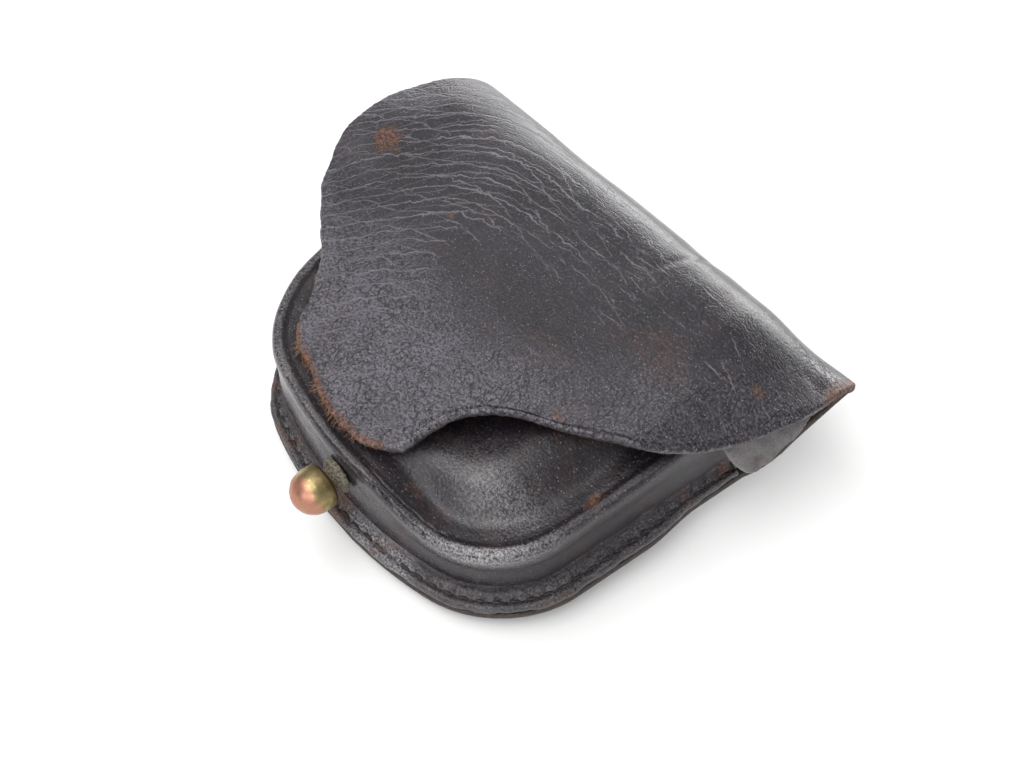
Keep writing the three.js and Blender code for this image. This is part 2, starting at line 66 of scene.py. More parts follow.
BACK_T, SHELL_T, LINING_T, STRAP_T = 1.8, 1.6, 1.0, 1.5
GAP = 0.3  # between pieces that lie on each other
BOTTOM_Y, BOTTOM_R, CORNER_R, CORNER_X, SIDE_SPREAD = -36.0, 75.0, 21.0, 14.0, 0.13
ROLL_Y, ROLL_R = 23.6, 11.7
MOUTH_Y = 16.0
RIDGE_Z = 18.45
STUD_Y, STUD_Z, STUD_RISE = -32.2, 12.7, math.radians(8)
LOOP_X, LOOP_WIDTH, RIVET_Y = 19.0, 17.0, -21.5
SEWN_Z = -GAP - STRAP_T


def world(points):
    """Points of the pouch's frame, in mm, as points of the part's frame, in metres."""
    return (np.asarray(points, float) @ TURN.T + SHIFT) / 1000


# ---- Small mathematics -------------------------------------------------------------------------
def ss(x, a=0.0, b=1.0):
    """Smooth step from 0 at a to 1 at b."""
    t = np.clip((np.asarray(x, float) - a) / (b - a), 0, 1)
    return t * t * (3 - 2 * t)


def lerp(a, b, t):
    return a + (b - a) * t


def bell(x, middle, width):
    """1 at the middle, falling smoothly to 0 at about twice the width from it."""
    return np.exp(-(((x - middle) / width) ** 2))


def apart(a, b):
    return np.linalg.norm(a - b, axis=-1)


def unit(v):
    return v / np.maximum(np.linalg.norm(v, axis=-1, keepdims=True), 1e-12)


def spline(points, count):
    """A smooth curve through the points, as count points evenly spaced along it."""
    p = np.asarray(points, float)
    p = np.vstack([2 * p[0] - p[1], p, 2 * p[-1] - p[-2]])
    t = np.linspace(0, 1, 24, endpoint=False)[:, None]
    runs = []
    for a, b, c, d in zip(p[:-3], p[1:-2], p[2:-1], p[3:]):
        runs.append(0.5 * (2 * b + (c - a) * t + (2 * a - 5 * b + 4 * c - d) * t**2
                           + (3 * b - a - 3 * c + d) * t**3))
    fine = np.vstack(runs + [p[-2:-1]])
    return resample(fine, count)


def distances(line):
    """How far along the line each of its points lies."""
    return np.r_[0, np.cumsum(np.linalg.norm(np.diff(line, axis=0), axis=1))]


def resample(line, count):
    """The same line as count points evenly spaced along it."""
    s = distances(line)
    at = np.linspace(0, s[-1], count)
    return np.stack([np.interp(at, s, line[:, k]) for k in range(line.shape[1])], 1)


def noise(p, seed=0):
    """Smooth value noise from -1 to 1 at the points p."""
    p = np.asarray(p, float)
    cell = np.floor(p).astype(np.int64)
    f = p - cell
    f = f * f * f * (f * (f * 6 - 15) + 10)

    def corner(dx, dy, dz):
        n = (cell[..., 0] + dx) * 374761393 + (cell[..., 1] + dy) * 668265263
        n = (n + (cell[..., 2] + dz) * 2147483647 + seed * 974634777) & 0xFFFFFFFF
        n = ((n ^ (n >> 13)) * 1274126177) & 0xFFFFFFFF
        n = ((n ^ (n >> 16)) * 2246822519) & 0xFFFFFFFF
        return ((n ^ (n >> 13)) & 0xFFFFFF) / 0x7FFFFF - 1.0

    x, y, z = f[..., 0], f[..., 1], f[..., 2]
    low = lerp(lerp(corner(0, 0, 0), corner(1, 0, 0), x), lerp(corner(0, 1, 0), corner(1, 1, 0), x), y)
    high = lerp(lerp(corner(0, 0, 1), corner(1, 0, 1), x), lerp(corner(0, 1, 1), corner(1, 1, 1), x), y)
    return lerp(low, high, z)


def fbm(p, size, octaves=3, seed=0):
    """Layered noise whose largest features are about size mm across."""
    total, gain = 0.0, 1.0
    for k in range(octaves):
        total = total + gain * noise(np.asarray(p, float) / size * 2**k + 17.3 * k, seed + k)
        gain *= 0.5
    return total / (2 - 2 * gain)


def xyz(x, y, z):
    return np.stack(np.broadcast_arrays(x, y, z), -1)


def on_sheet(x, y):
    return xyz(x, y, 0.0)


def spot(lay, x, y, rx, ry):
    """1 at the middle of a worn spot, 0 outside it, with a ragged edge."""
    d = np.hypot((lay[..., 0] - x) / rx, (lay[..., 1] - y) / ry)
    ragged = 0.45 * fbm(on_sheet(lay[..., 0], lay[..., 1]), 2.2, 3, 5)
    return 1 - ss(d + ragged, 0.25, 1.15)


# ---- Meshes ------------------------------------------------------------------------------------
def make_object(name, verts, faces, attributes, material, sharp=38):
    """A mesh object from points in mm; attributes holds its lay and its mask."""
    mesh = bpy.data.meshes.new(name)
    mesh.from_pydata([tuple(v) for v in world(verts)], [], faces)
    mesh.validate(clean_customdata=False)
    for key, values in attributes.items():
        kind = "FLOAT_VECTOR" if key == "lay" else "FLOAT_COLOR"
        layer = mesh.attributes.new(key, kind, "POINT")
        flat = np.asarray(values, np.float32)
        if kind == "FLOAT_COLOR":
            flat = np.hstack([flat, np.zeros((len(flat), 4 - flat.shape[1]), np.float32)])
            layer.data.foreach_set("color", flat.ravel())
        else:
            layer.data.foreach_set("vector", flat.ravel())
    obj = bpy.data.objects.new(name, mesh)
    bpy.context.scene.collection.objects.link(obj)
    mesh.materials.append(material)
    mesh.shade_smooth()
    mesh.set_sharp_from_angle(angle=math.radians(sharp))
    return obj


def grid_normals(grid):
    """Unit normals of an (n, m, 3) grid: along rows crossed with along columns."""
    du = np.gradient(grid, axis=0)
    dv = np.gradient(grid, axis=1)
    return unit(np.cross(du, dv))


def towards(normals, reference):
    """The normals, turned over where they point away from the reference."""
    return np.where((normals * reference).sum(-1, keepdims=True) < 0, -normals, normals)


def quads(n, m, offset=0, flip=False):
    """The faces of an (n, m) grid whose first point has the index offset."""
    i, j = np.meshgrid(np.arange(n - 1), np.arange(m - 1), indexing="ij")
    a = (offset + i * m + j).ravel()
    corners = [a, a + m, a + m + 1, a + 1]
    if flip:
        corners = corners[::-1]
    return np.stack(corners, 1).tolist()


def border_loop(n, m):
    """The border of an (n, m) grid as indices, once round."""
    first = [(i, 0) for i in range(n)]
    second = [(n - 1, j) for j in range(1, m)]
    third = [(i, m - 1) for i in range(n - 2, -1, -1)]
    fourth = [(0, j) for j in range(m - 2, 0, -1)]
    return np.array([i * m + j for i, j in first + second + third + fourth])


def ring_quads(rings, sides):
    """The faces of a tube of rings, one after another, with so many sides each."""
    i, j = np.meshgrid(np.arange(rings - 1) * sides, np.arange(sides), indexing="ij")
    k = (j + 1) % sides
    return np.stack([i + j, i + k, i + sides + k, i + sides + j], -1).reshape(-1, 4).tolist()


def slab(name, outer, thickness, material, masks, lay, bulge=0.3, flat_last=False,
         flat_first=False, inner=None, ragged=0.0):
    """A closed sheet of leather under the outer surface, with a rounded edge all round it.
    lay is the leather's own coordinates (x, y, 0); the inner side has the depth as its third."""
    n, m = outer.shape[:2]
    normals = grid_normals(outer)
    thick = np.broadcast_to(np.asarray(thickness, float), (n, m))[..., None]
    if inner is None:
        inner = outer - normals * thick
    masks = np.zeros((n, m, 4)) if masks is None else masks
    loop = border_loop(n, m)
    top, under, normals, depth, lay, masks = (
        a.reshape(n * m, -1)
        for a in (outer, inner, normals, thick, on_sheet(lay[..., 0], lay[..., 1]), masks))

    def sunk(points, amount):
        return points - np.hstack([np.zeros((len(points), 2)), amount])

    middle = (top[loop] + under[loop]) / 2
    along = unit(np.roll(middle, -1, 0) - np.roll(middle, 1, 0))
    outward = unit(np.cross(along, normals[loop]))
    if np.sum(outward * (middle - middle.mean(0))) < 0:
        outward = -outward
    amount = np.full(len(loop), bulge) * depth[loop][:, 0]
    if flat_last:
        amount[(loop % m) == m - 1] = 0
    if flat_first:
        amount[(loop % m) == 0] = 0
    verts, lays, painted = [top, under], [lay, sunk(lay, depth)], [masks, masks]
    chain = [loop]
    for k, share in enumerate((0.1, 0.3, 0.5, 0.7, 0.9)):
        push = amount[:, None] * math.sin(math.pi * share) ** 0.6
        ring = top[loop] * (1 - share) + under[loop] * share + outward * push
        if ragged:
            rough = noise(ring * 1.9, 40 + k) + 0.6 * noise(ring * 4.1, 50 + k)
            ring = ring + outward * (rough * ragged * (amount > 0))[:, None]
        verts.append(ring)
        lays.append(sunk(lay[loop], depth[loop] * share))
        painted.append(masks[loop])
        chain.append((2 * n * m) + k * len(loop) + np.arange(len(loop)))
    chain.append(loop + n * m)
    faces = quads(n, m) + quads(n, m, n * m, flip=True)
    for a, b in zip(chain[:-1], chain[1:]):
        faces += np.stack([a, b, np.roll(b, -1), np.roll(a, -1)], 1).tolist()
    attributes = {"lay": np.vstack(lays), "mask": np.vstack(painted)}
    obj = make_object(name, np.vstack(verts), faces, attributes, material)
    face_out(obj)
    return obj


def face_out(obj):
    """Turns the faces of a closed mesh outwards, and joins its doubled points."""
    bm = bmesh.new()
    bm.from_mesh(obj.data)
    bmesh.ops.remove_doubles(bm, verts=bm.verts, dist=2e-6)
    bmesh.ops.recalc_face_normals(bm, faces=bm.faces)
    if bm.calc_volume(signed=True) < 0:
        bmesh.ops.reverse_faces(bm, faces=bm.faces)
    bm.to_mesh(obj.data)
    bm.free()


def join(name, parts, material):
    """One object from a list of (verts, faces) pieces."""
    verts, faces, start = [], [], 0
    for v, f in parts:
        verts.append(v)
        faces += [[start + q for q in face] for face in f]
        start += len(v)
    verts = np.vstack(verts)
    return make_object(name, verts, faces, {"lay": verts, "mask": np.zeros((start, 3))}, material)


def tube(line, radius, sides=8):
    """A closed round tube along a line, with a point at the middle of each end."""
    line = np.asarray(line, float)
    n = len(line)
    radius = np.broadcast_to(np.asarray(radius, float), (n,))
    along = unit(np.gradient(line, axis=0))
    side = unit(np.cross(along, [0.13, 0.21, 0.97]))
    up = np.cross(side, along)
    turn = np.linspace(0, 2 * math.pi, sides, endpoint=False)
    ring = side[:, None] * np.cos(turn)[None, :, None] + up[:, None] * np.sin(turn)[None, :, None]
    verts = (line[:, None] + ring * radius[:, None, None]).reshape(-1, 3)
    verts = np.vstack([verts, line[0], line[-1]])
    faces = ring_quads(n, sides)
    for j in range(sides):
        k = (j + 1) % sides
        faces.append([n * sides, k, j])
        faces.append([n * sides + 1, (n - 1) * sides + j, (n - 1) * sides + k])
    return verts, faces


def stitches(name, path, up, pitch=2.6, length=2.05, radius=0.34):
    """A row of separate stitches along a line: each one dips into the leather at both ends."""
    up = np.array(up)
    s = distances(path)
    count = int(s[-1] / pitch)
    rng = np.random.default_rng(11)
    t = np.linspace(-0.5, 0.5, 9)
    slant, dip = 0.12, 0.42
    parts = []
    for k in range(count):
        pos = (k + 0.5) * s[-1] / count + t * length
        line = np.stack([np.interp(pos, s, path[:, c]) for c in range(3)], 1)
        across = np.cross(unit(line[-1] - line[0]), up)
        bow = dip * (np.abs(t) * 2) ** 3
        wander = rng.normal(0, 0.03)
        line = line - up * bow[:, None] + across * (slant * t + wander)[:, None]
        thick = radius * (1 - 0.35 * (np.abs(t) * 2) ** 4) * rng.uniform(0.92, 1.06)
        parts.append(tube(line, thick))
    return join(name, parts, THREAD)


def lathe(profile, segments, wobble):
    """Points and faces of a profile [(radius, height)] turned round +z, closed on its axis or on itself."""
    profile = np.asarray(profile, float)
    turn = np.linspace(0, 2 * math.pi, segments, endpoint=False)
    r = profile[:, :1] * np.ones(segments)
    h = profile[:, 1:] * np.ones(segments)
    p = np.stack([r * np.cos(turn), r * np.sin(turn), h], -1)
    bump = noise(p * 0.9, 3)[..., None] * wobble + noise(p * 2.3, 4)[..., None] * wobble * 0.5
    p = p + unit(p - p.mean((0, 1))) * bump * (r[..., None] > 0.01)
    return p.reshape(-1, 3), ring_quads(len(profile), segments)


# ---- Materials ---------------------------------------------------------------------------------
MM = 0.001


class Shader:
    """A material's node tree, written as nested calls."""

    def __init__(self, name):
        self.material = bpy.data.materials.new(name)
        self.material.use_nodes = True
        self.tree = self.material.node_tree
        self.bsdf = self.tree.nodes["Principled BSDF"]

    def node(self, kind, inputs=None, **settings):
        made = self.tree.nodes.new(kind)
        for key, value in settings.items():
            setattr(made, key, value)
        for key, value in (inputs or {}).items():
            self.feed(made.inputs[key], value)
        return made

    def feed(self, socket, value):
        if hasattr(value, "is_output"):
            self.tree.links.new(value, socket)
        else:
            socket.default_value = value

    def attribute(self, name):
        return self.node("ShaderNodeAttribute", attribute_name=name).outputs

    def channels(self, color):
        """The red, green and blue of a colour."""
        return self.node("ShaderNodeSeparateColor", {"Color": color}).outputs

    def math(self, operation, a, b=0.0, clamp=False):
        made = self.node("ShaderNodeMath", {0: a, 1: b}, operation=operation)
        made.use_clamp = clamp
        return made.outputs[0]

    def plus(self, a, b, clamp=False):
        return self.math("ADD", a, b, clamp)

    def minus(self, a, b):
        return self.math("SUBTRACT", a, b)

    def times(self, a, b, clamp=False):
        return self.math("MULTIPLY", a, b, clamp)

    def swing(self, noise, amount):
        """A noise's distance from its middle, times an amount."""
        return self.times(self.minus(noise, 0.5), amount)

    def shifted(self, vector, by):
        return self.node("ShaderNodeVectorMath", {0: vector, 1: by}, operation="ADD").outputs[0]

    def mapping(self, vector, scale, location=(0, 0, 0)):
        inputs = {"Vector": vector, "Scale": scale, "Location": location}
        return self.node("ShaderNodeMapping", inputs).outputs[0]

    def noise(self, vector, scale, detail=4.0, roughness=0.55):
        inputs = {"Vector": vector, "Scale": scale, "Detail": detail, "Roughness": roughness}
        return self.node("ShaderNodeTexNoise", inputs).outputs

    def voronoi(self, vector, scale, feature="F1"):
        return self.node("ShaderNodeTexVoronoi", {"Vector": vector, "Scale": scale}, feature=feature).outputs

    def band(self, value, low, high, to_low=0.0, to_high=1.0):
        """value mapped smoothly from low..high to to_low..to_high."""
        made = self.node("ShaderNodeMapRange", {"Value": value, "From Min": low, "From Max": high,
                                                "To Min": to_low, "To Max": to_high},
                         interpolation_type="SMOOTHSTEP")
        return made.outputs[0]

    def mix(self, share, a, b, blend="MIX"):
        made = self.node("ShaderNodeMix", data_type="RGBA", blend_type=blend, clamp_factor=True)
        self.feed(made.inputs[0], share)
        self.feed(made.inputs[6], a)
        self.feed(made.inputs[7], b)
        return made.outputs[2]

    def bump(self, height):
        """A surface bumped by a height in mm."""
        return self.node("ShaderNodeBump", {"Height": height, "Distance": MM}).outputs[0]

    def finish(self, color, roughness, height=None, metallic=0.0, **constants):
        """The material. What is the same all over the surface is set on the shader's own sockets."""
        self.feed(self.bsdf.inputs["Base Color"], color)
        self.feed(self.bsdf.inputs["Roughness"], roughness)
        self.feed(self.bsdf.inputs["Metallic"], metallic)
        if height is not None:
            self.feed(self.bsdf.inputs["Normal"], self.bump(height))
        for key, value in constants.items():
            self.bsdf.inputs[key.replace("_", " ")].default_value = value
        return self.material


def rgb(r, g, b):
    return (r, g, b, 1.0)


def tint(color, factor):
    return rgb(*(factor * c for c in color))


# Families of cracks: spacing, wander, width, strength, least mask, shift and slope, in mm.
CRACK_FAMILIES = (
    (2.4, 1.6, 0.1, 1.0, 0.2, 0.0, 0.0),
    (3.6, 2.2, 0.085, 0.85, 0.2, 31.0, 0.34),
    (1.7, 1.8, 0.07, 0.6, 0.3, 67.0, -0.2),
)


def crack_lines(s, lay, crack):
    """Sets of long wandering lines that meet at low angles, thickest where the crack mask is high."""
    flow = s.attribute("flow")["Vector"]
    along, across = s.node("ShaderNodeSeparateXYZ", {"Vector": flow}).outputs[:2]
    across = s.plus(across, s.swing(s.noise(lay, 0.5, 4, 0.62)[0], 1.7))
    here = s.plus(crack, s.swing(s.noise(lay, 0.16, 3)[0], 1.1))
    lines = 0.0
    for spacing, wander, width, strength, least, shift, slope in CRACK_FAMILIES:
        bend = s.noise(s.mapping(flow, (0.085, 0.17, 1.0), (shift, shift, 0)), 1.0, 2, 0.5)[0]
        level = s.plus(across, s.times(bend, 2 * wander))
        level = s.plus(level, s.times(along, slope))
        turns = s.math("FRACT", s.math("DIVIDE", level, spacing))
        away = s.math("ABSOLUTE", s.minus(turns, 0.5))
        line = s.band(away, 0.3 * width / spacing, 1.6 * width / spacing, 1.0, 0.0)
        stretch = s.noise(s.mapping(flow, (0.2, 0.42, 1.0), (shift, -shift, 0)), 1.0, 3)[0]
        present = s.band(s.plus(here, s.times(stretch, 2.0)), least + 1.15, least + 1.65)
        lines = s.math("MAXIMUM", lines, s.times(s.times(line, present), strength))
    return lines


def worn_leather(name, base=(0.0098, 0.008, 0.0113), cracks=1.0, rough=0.4, grain=1.0, speckle=1.0,
                 brown=1.0, grey=(0.172, 0.158, 0.187), coat=0.0):
    """Blackened leather in its own coordinates: lay is (x, y, depth) in mm, flow runs along and across
    the cracks, and mask holds brown wear, cracks, grey haze for scuffs, painted sheen and painted highlights,
    and, as alpha, polish."""
    s = Shader(name)
    lay = s.attribute("lay")["Vector"]
    painted = s.attribute("mask")
    wear, crack, scuff_and_sheen = s.channels(painted["Color"])
    polish = painted["Alpha"]
    depth = s.node("ShaderNodeSeparateXYZ", {"Vector": lay}).outputs[2]

    # Slow changes of tone, and the finish's brown undertone.
    slow = s.noise(lay, 0.085, 3)[0]
    mid = s.noise(lay, 0.5, 4, 0.6)[0]
    grains = s.noise(lay, 2.3, 3, 0.62)[0]
    fine = s.noise(lay, 6.5, 2, 0.6)[0]
    tone = s.plus(slow, s.times(mid, 0.7))
    color = s.mix(s.band(tone, 0.55, 1.15), tint(base, 0.6), tint(base, 1.6))
    undertone = s.band(s.noise(lay, 0.15, 4, 0.6)[0], 0.48, 0.72)
    color = s.mix(s.times(undertone, 0.4 * brown), color, rgb(0.04, 0.0225, 0.019))
    color = s.mix(s.band(grains, 0.5, 0.7), color, tint(base, 4.8))

    # Scuffs show as a grey haze, crazed into small plates with dark gaps between them.
    # The same grey haze paints the sheen on the fold's roll and the highlights on the moulded front's
    # shoulder and pillow.
    haze = s.plus(s.times(grains, 0.6), s.times(mid, 0.17))
    haze = s.plus(haze, s.times(fine, 0.4))
    scuff_and_sheen_haze = s.times(scuff_and_sheen, s.band(haze, 0.49, 0.68), clamp=True)
    plates = s.voronoi(s.shifted(lay, s.noise(lay, 0.9, 2)[1]), 0.75, "DISTANCE_TO_EDGE")["Distance"]
    crazed = s.times(s.band(plates, 0.02, 0.13, 1.0, 0.0), s.band(s.noise(lay, 0.24, 3)[0], 0.38, 0.58))
    crazed = s.times(crazed, s.times(s.band(scuff_and_sheen, 0.15, 0.55), cracks), clamp=True)
    scuff_and_sheen_haze = s.times(scuff_and_sheen_haze, s.minus(1.0, s.times(crazed, 0.8)))
    scuff_and_sheen_haze = s.times(scuff_and_sheen_haze, s.band(slow, 0.35, 0.65, 1.12, 0.72), clamp=True)
    color = s.mix(s.times(scuff_and_sheen_haze, 0.85), color, tint(grey, 0.9))

    # Light specks of lost finish and dust. The light lines along the cracks are worn finish and a painted
    # highlight where their raised lips catch the light.
    grit = s.voronoi(lay, 2.5)
    chance = s.plus(s.channels(grit["Color"])[0], s.times(scuff_and_sheen, 0.2))
    specks = s.times(s.band(grit["Distance"], 0.12, 0.32, 1.0, 0.0), s.band(chance, 0.68, 0.94))
    specks = s.times(specks, 0.75 * speckle, clamp=True)
    color = s.mix(specks, color, tint(grey, 1.6))
    lines = crack_lines(s, lay, crack)
    lines = s.times(lines, s.times(s.band(crack, 0.0, 0.2), cracks), clamp=True)
    color = s.mix(s.times(lines, 0.75), color, tint(grey, 1.1))

    # Brown where the finish has gone.
    worn = s.plus(wear, s.swing(s.noise(lay, 1.3, 5, 0.7)[0], 1.1))
    worn = s.times(s.band(worn, 0.25, 0.95), s.band(wear, 0.0, 0.3), clamp=True)
    mottled = s.band(s.noise(lay, 2.1, 3, 0.65)[0], 0.4, 0.62)
    rust = s.mix(mottled, rgb(0.045, 0.02, 0.015), rgb(0.24, 0.1, 0.048))
    color = s.mix(s.times(worn, 0.85), color, rust)

    # The flesh side, and the cut edge between.
    inside = s.band(depth, -0.35, -1.1)
    nap = s.band(s.noise(lay, 1.4, 4, 0.7)[0], 0.35, 0.65)
    flesh = s.mix(nap, rgb(0.02, 0.015, 0.013), rgb(0.062, 0.044, 0.035))
    color = s.mix(s.times(inside, 0.85), color, flesh)

    roughness = s.plus(rough, s.swing(mid, 0.2))
    roughness = s.minus(roughness, s.times(polish, 0.2))
    for share, more in ((worn, 0.3), (inside, 0.35), (lines, 0.15), (specks, 0.2)):
        roughness = s.plus(roughness, s.times(share, more), clamp=True)

    relief = s.plus(s.times(fine, 0.03 * grain), s.times(grains, 0.15 * grain))
    relief = s.plus(relief, s.times(mid, 0.14 * grain))
    relief = s.times(relief, s.band(polish, 0.0, 1.0, 1.0, 0.35))
    for share, deep in ((lines, 0.09), (crazed, 0.08), (worn, 0.05)):
        relief = s.minus(relief, s.times(share, deep))
    return s.finish(color, roughness, relief, Specular_IOR_Level=0.5, Coat_Weight=coat, Coat_Roughness=0.25)


def suede(name, dark, light):
    """The matt side of light leather. mask holds brown wear as its red."""
    s = Shader(name)
    lay = s.attribute("lay")["Vector"]
    wear = s.channels(s.attribute("mask")["Color"])[0]
    cloudy = s.noise(lay, 0.35, 5, 0.65)[0]
    fibre = s.noise(s.mapping(lay, (1.0, 2.2, 1.6)), 3.0, 4, 0.7)[0]
    tone = s.plus(s.times(cloudy, 0.7), s.times(fibre, 0.5))
    color = s.mix(s.band(tone, 0.38, 0.82), rgb(*dark), rgb(*light))
    color = s.mix(s.times(wear, 0.8), color, rgb(0.08, 0.04, 0.025))
    height = s.plus(s.times(fibre, 0.1), s.times(cloudy, 0.22))
    roughness = s.plus(0.72, s.times(cloudy, 0.2))
    return s.finish(color, roughness, height, Sheen_Weight=0.25, Sheen_Roughness=0.5)


def thread_material():
    s = Shader("waxed_thread")
    ply = s.noise(s.attribute("lay")["Vector"], 2.6, 3, 0.6)[0]
    color = s.mix(s.band(ply, 0.35, 0.7), rgb(0.012, 0.01, 0.009), rgb(0.045, 0.036, 0.032))
    return s.finish(color, 0.62, s.times(ply, 0.12))


def metal(name, bright, dull, patina, shine=0.28, nose=None):
    """Worn metal. mask holds red for tarnish, green for the rubbed nose and blue for crust."""
    s = Shader(name)
    lay = s.attribute("lay")["Vector"]
    mask = s.channels(s.attribute("mask")["Color"])
    cloud = s.noise(lay, 0.45, 5, 0.65)[0]
    fine = s.noise(lay, 2.8, 4, 0.65)[0]
    tarnish = s.band(s.plus(mask[0], s.swing(cloud, 1.1)), 0.25, 0.75)
    color = s.mix(tarnish, rgb(*bright), rgb(*dull))
    if nose:
        rubbed = s.plus(mask[1], s.swing(cloud, 1.7))
        color = s.mix(s.band(rubbed, 0.25, 0.85), color, rgb(*nose))
    crust = s.plus(mask[2], s.swing(fine, 0.9))
    crust = s.times(s.band(crust, 0.45, 0.8), s.band(mask[2], 0.05, 0.3))
    mottled = s.mix(s.band(fine, 0.38, 0.62), tint(patina, 0.4), tint(patina, 1.45))
    color = s.mix(crust, color, mottled)
    roughness = s.plus(shine, s.times(tarnish, 0.22))
    roughness = s.plus(roughness, s.times(crust, 0.35))
    roughness = s.plus(roughness, s.swing(fine, 0.16), clamp=True)
    metallic = s.minus(1.0, s.times(crust, 0.8))
    height = s.plus(s.times(fine, 0.025), s.times(cloud, 0.05))
    height = s.plus(height, s.times(crust, 0.04))
    return s.finish(color, roughness, height, metallic)


def fleece_material():
    s = Shader("fleece")
    lay = s.attribute("lay")["Vector"]
    tuft = s.voronoi(s.shifted(lay, s.noise(lay, 0.8)[1]), 0.8)["Distance"]
    curl = s.noise(lay, 1.8, 5, 0.7)[0]
    color = s.mix(s.band(curl, 0.3, 0.7), rgb(0.2, 0.14, 0.08), rgb(0.58, 0.47, 0.31))
    color = s.mix(s.band(tuft, 0.25, 0.8), color, rgb(0.16, 0.11, 0.065))
    height = s.plus(s.times(curl, 0.35), s.times(tuft, -0.35))
    return s.finish(color, 0.95, height, Sheen_Weight=0.4)


LEATHER = worn_leather("bridle_leather")
# Its bright grey paints the highlights along the shoulder and on the pillow of the moulded front, as well as
# its scuffs.
SHELL_LEATHER = worn_leather("moulded_leather", (0.0078, 0.0056, 0.0082), cracks=0.25, rough=0.42, grain=0.8,
                             speckle=0.3, brown=1.6, grey=(0.47, 0.452, 0.475), coat=0.08)
STRAP_LEATHER = worn_leather("strap_leather", cracks=0.3, rough=0.45)
LINING = suede("lining_leather", (0.085, 0.077, 0.079), (0.235, 0.22, 0.223))
FIBRE = suede("torn_fibre", (0.1, 0.04, 0.014), (0.5, 0.24, 0.085))
THREAD = thread_material()
BRASS = metal("brass", (0.44, 0.35, 0.17), (0.17, 0.125, 0.06), (0.155, 0.135, 0.105), shine=0.31,
              nose=(0.46, 0.225, 0.155))
COPPER = metal("copper", (0.5, 0.2, 0.1), (0.16, 0.07, 0.04), (0.12, 0.22, 0.17))
FLEECE = fleece_material()


def add_flow(obj):
    """flow is the cracks' own coordinates: x along them and y across. They run along the fold at the
    right, and bend down towards the torn edge at the left."""
    mesh = obj.data
    n = len(mesh.vertices)
    lay = np.zeros(n * 3, np.float32)
    mesh.attributes["lay"].data.foreach_get("vector", lay)
    lay = lay.reshape(-1, 3).astype(float)
    x, y = lay[:, 0], lay[:, 1]
    slanted = -0.85 * x + 0.53 * y - 10.6
    share = 1 / (1 + np.exp(np.clip((y - slanted) / 4.0, -30, 30)))
    across = np.logaddexp(y / 4.0, slanted / 4.0) * 4.0
    along = lerp(x, 0.53 * x + 0.85 * y - 17.0, share)
    flow = np.stack([along, across, lay[:, 2]], 1)
    layer = mesh.attributes.new("flow", "FLOAT_VECTOR", "POINT")
    layer.data.foreach_set("vector", flow.astype(np.float32).ravel())


# ---- Outline of the back -----------------------------------------------------------------------
def rim_curve(top_y, count):
    """The back's rim from the right of the mouth, round the bottom, to the left, as (x, y) points."""
    centre_y = BOTTOM_Y + BOTTOM_R
    corner_y = centre_y - math.sqrt((BOTTOM_R - CORNER_R) ** 2 - CORNER_X**2)
    bottom = math.atan2(corner_y - centre_y, CORNER_X)
    side = math.atan(SIDE_SPREAD)
    side_x = CORNER_X + CORNER_R * math.cos(side)
    side_y = corner_y - CORNER_R * math.sin(side)
    top_x = side_x + (top_y - side_y) * SIDE_SPREAD
    a = np.linspace(-side, bottom, 60)
    corner = np.stack([CORNER_X + CORNER_R * np.cos(a), corner_y + CORNER_R * np.sin(a)], 1)
    b = np.linspace(bottom, -math.pi / 2, 40)
    low = np.stack([BOTTOM_R * np.cos(b), centre_y + BOTTOM_R * np.sin(b)], 1)
    straight = np.stack([np.linspace(top_x, side_x, 40), np.linspace(top_y, side_y, 40)], 1)
    right = np.vstack([straight[:-1], corner[:-1], low])
    left = right[-2::-1] * [-1, 1]
    return resample(np.vstack([right, left]), count)


def inward_of(rim):
    """Unit vectors that point inwards, square to the rim."""
    along = np.gradient(rim, axis=0)
    inwards = unit(np.stack([along[:, 1], -along[:, 0]], 1))
    inwards[inwards[:, 0] * rim[:, 0] > 0] *= -1
    inwards[np.abs(rim[:, 0]) < 0.3] = [0, 1]
    return inwards


def pared(rim):
    """How far the worn rim has been pared back from its true outline, at each point."""
    x, y = rim[:, 0], rim[:, 1]
    left_corner = 1.15 * bell(x, -29, 6.5) * bell(y, -27, 7.0)
    right_mouth = 1.2 * (x > 0) * ss(y, -3, 8) * (1 - ss(y, 16.5, 22.5))
    return left_corner + right_mouth + 0.35 * (1 - ss(y, -30, -16))


RIM = rim_curve(ROLL_Y, 1601)
RIM = RIM + inward_of(RIM) * pared(RIM)[:, None]
RIGHT_RIM, LEFT_RIM = RIM[800::-1], RIM[800:]  # both from the bottom up


def right_width(y):
    return np.interp(y, RIGHT_RIM[:, 1], RIGHT_RIM[:, 0])


def left_width(y):
    return -np.interp(y, LEFT_RIM[:, 1], LEFT_RIM[:, 0])


def attach(piece, nodes=(), body=None):
    """Hides the CAD nodes that a piece stands for, and puts the piece on the body that it rides on."""
    if nodes:
        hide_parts(*nodes)
    if body:
        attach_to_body(piece, body)


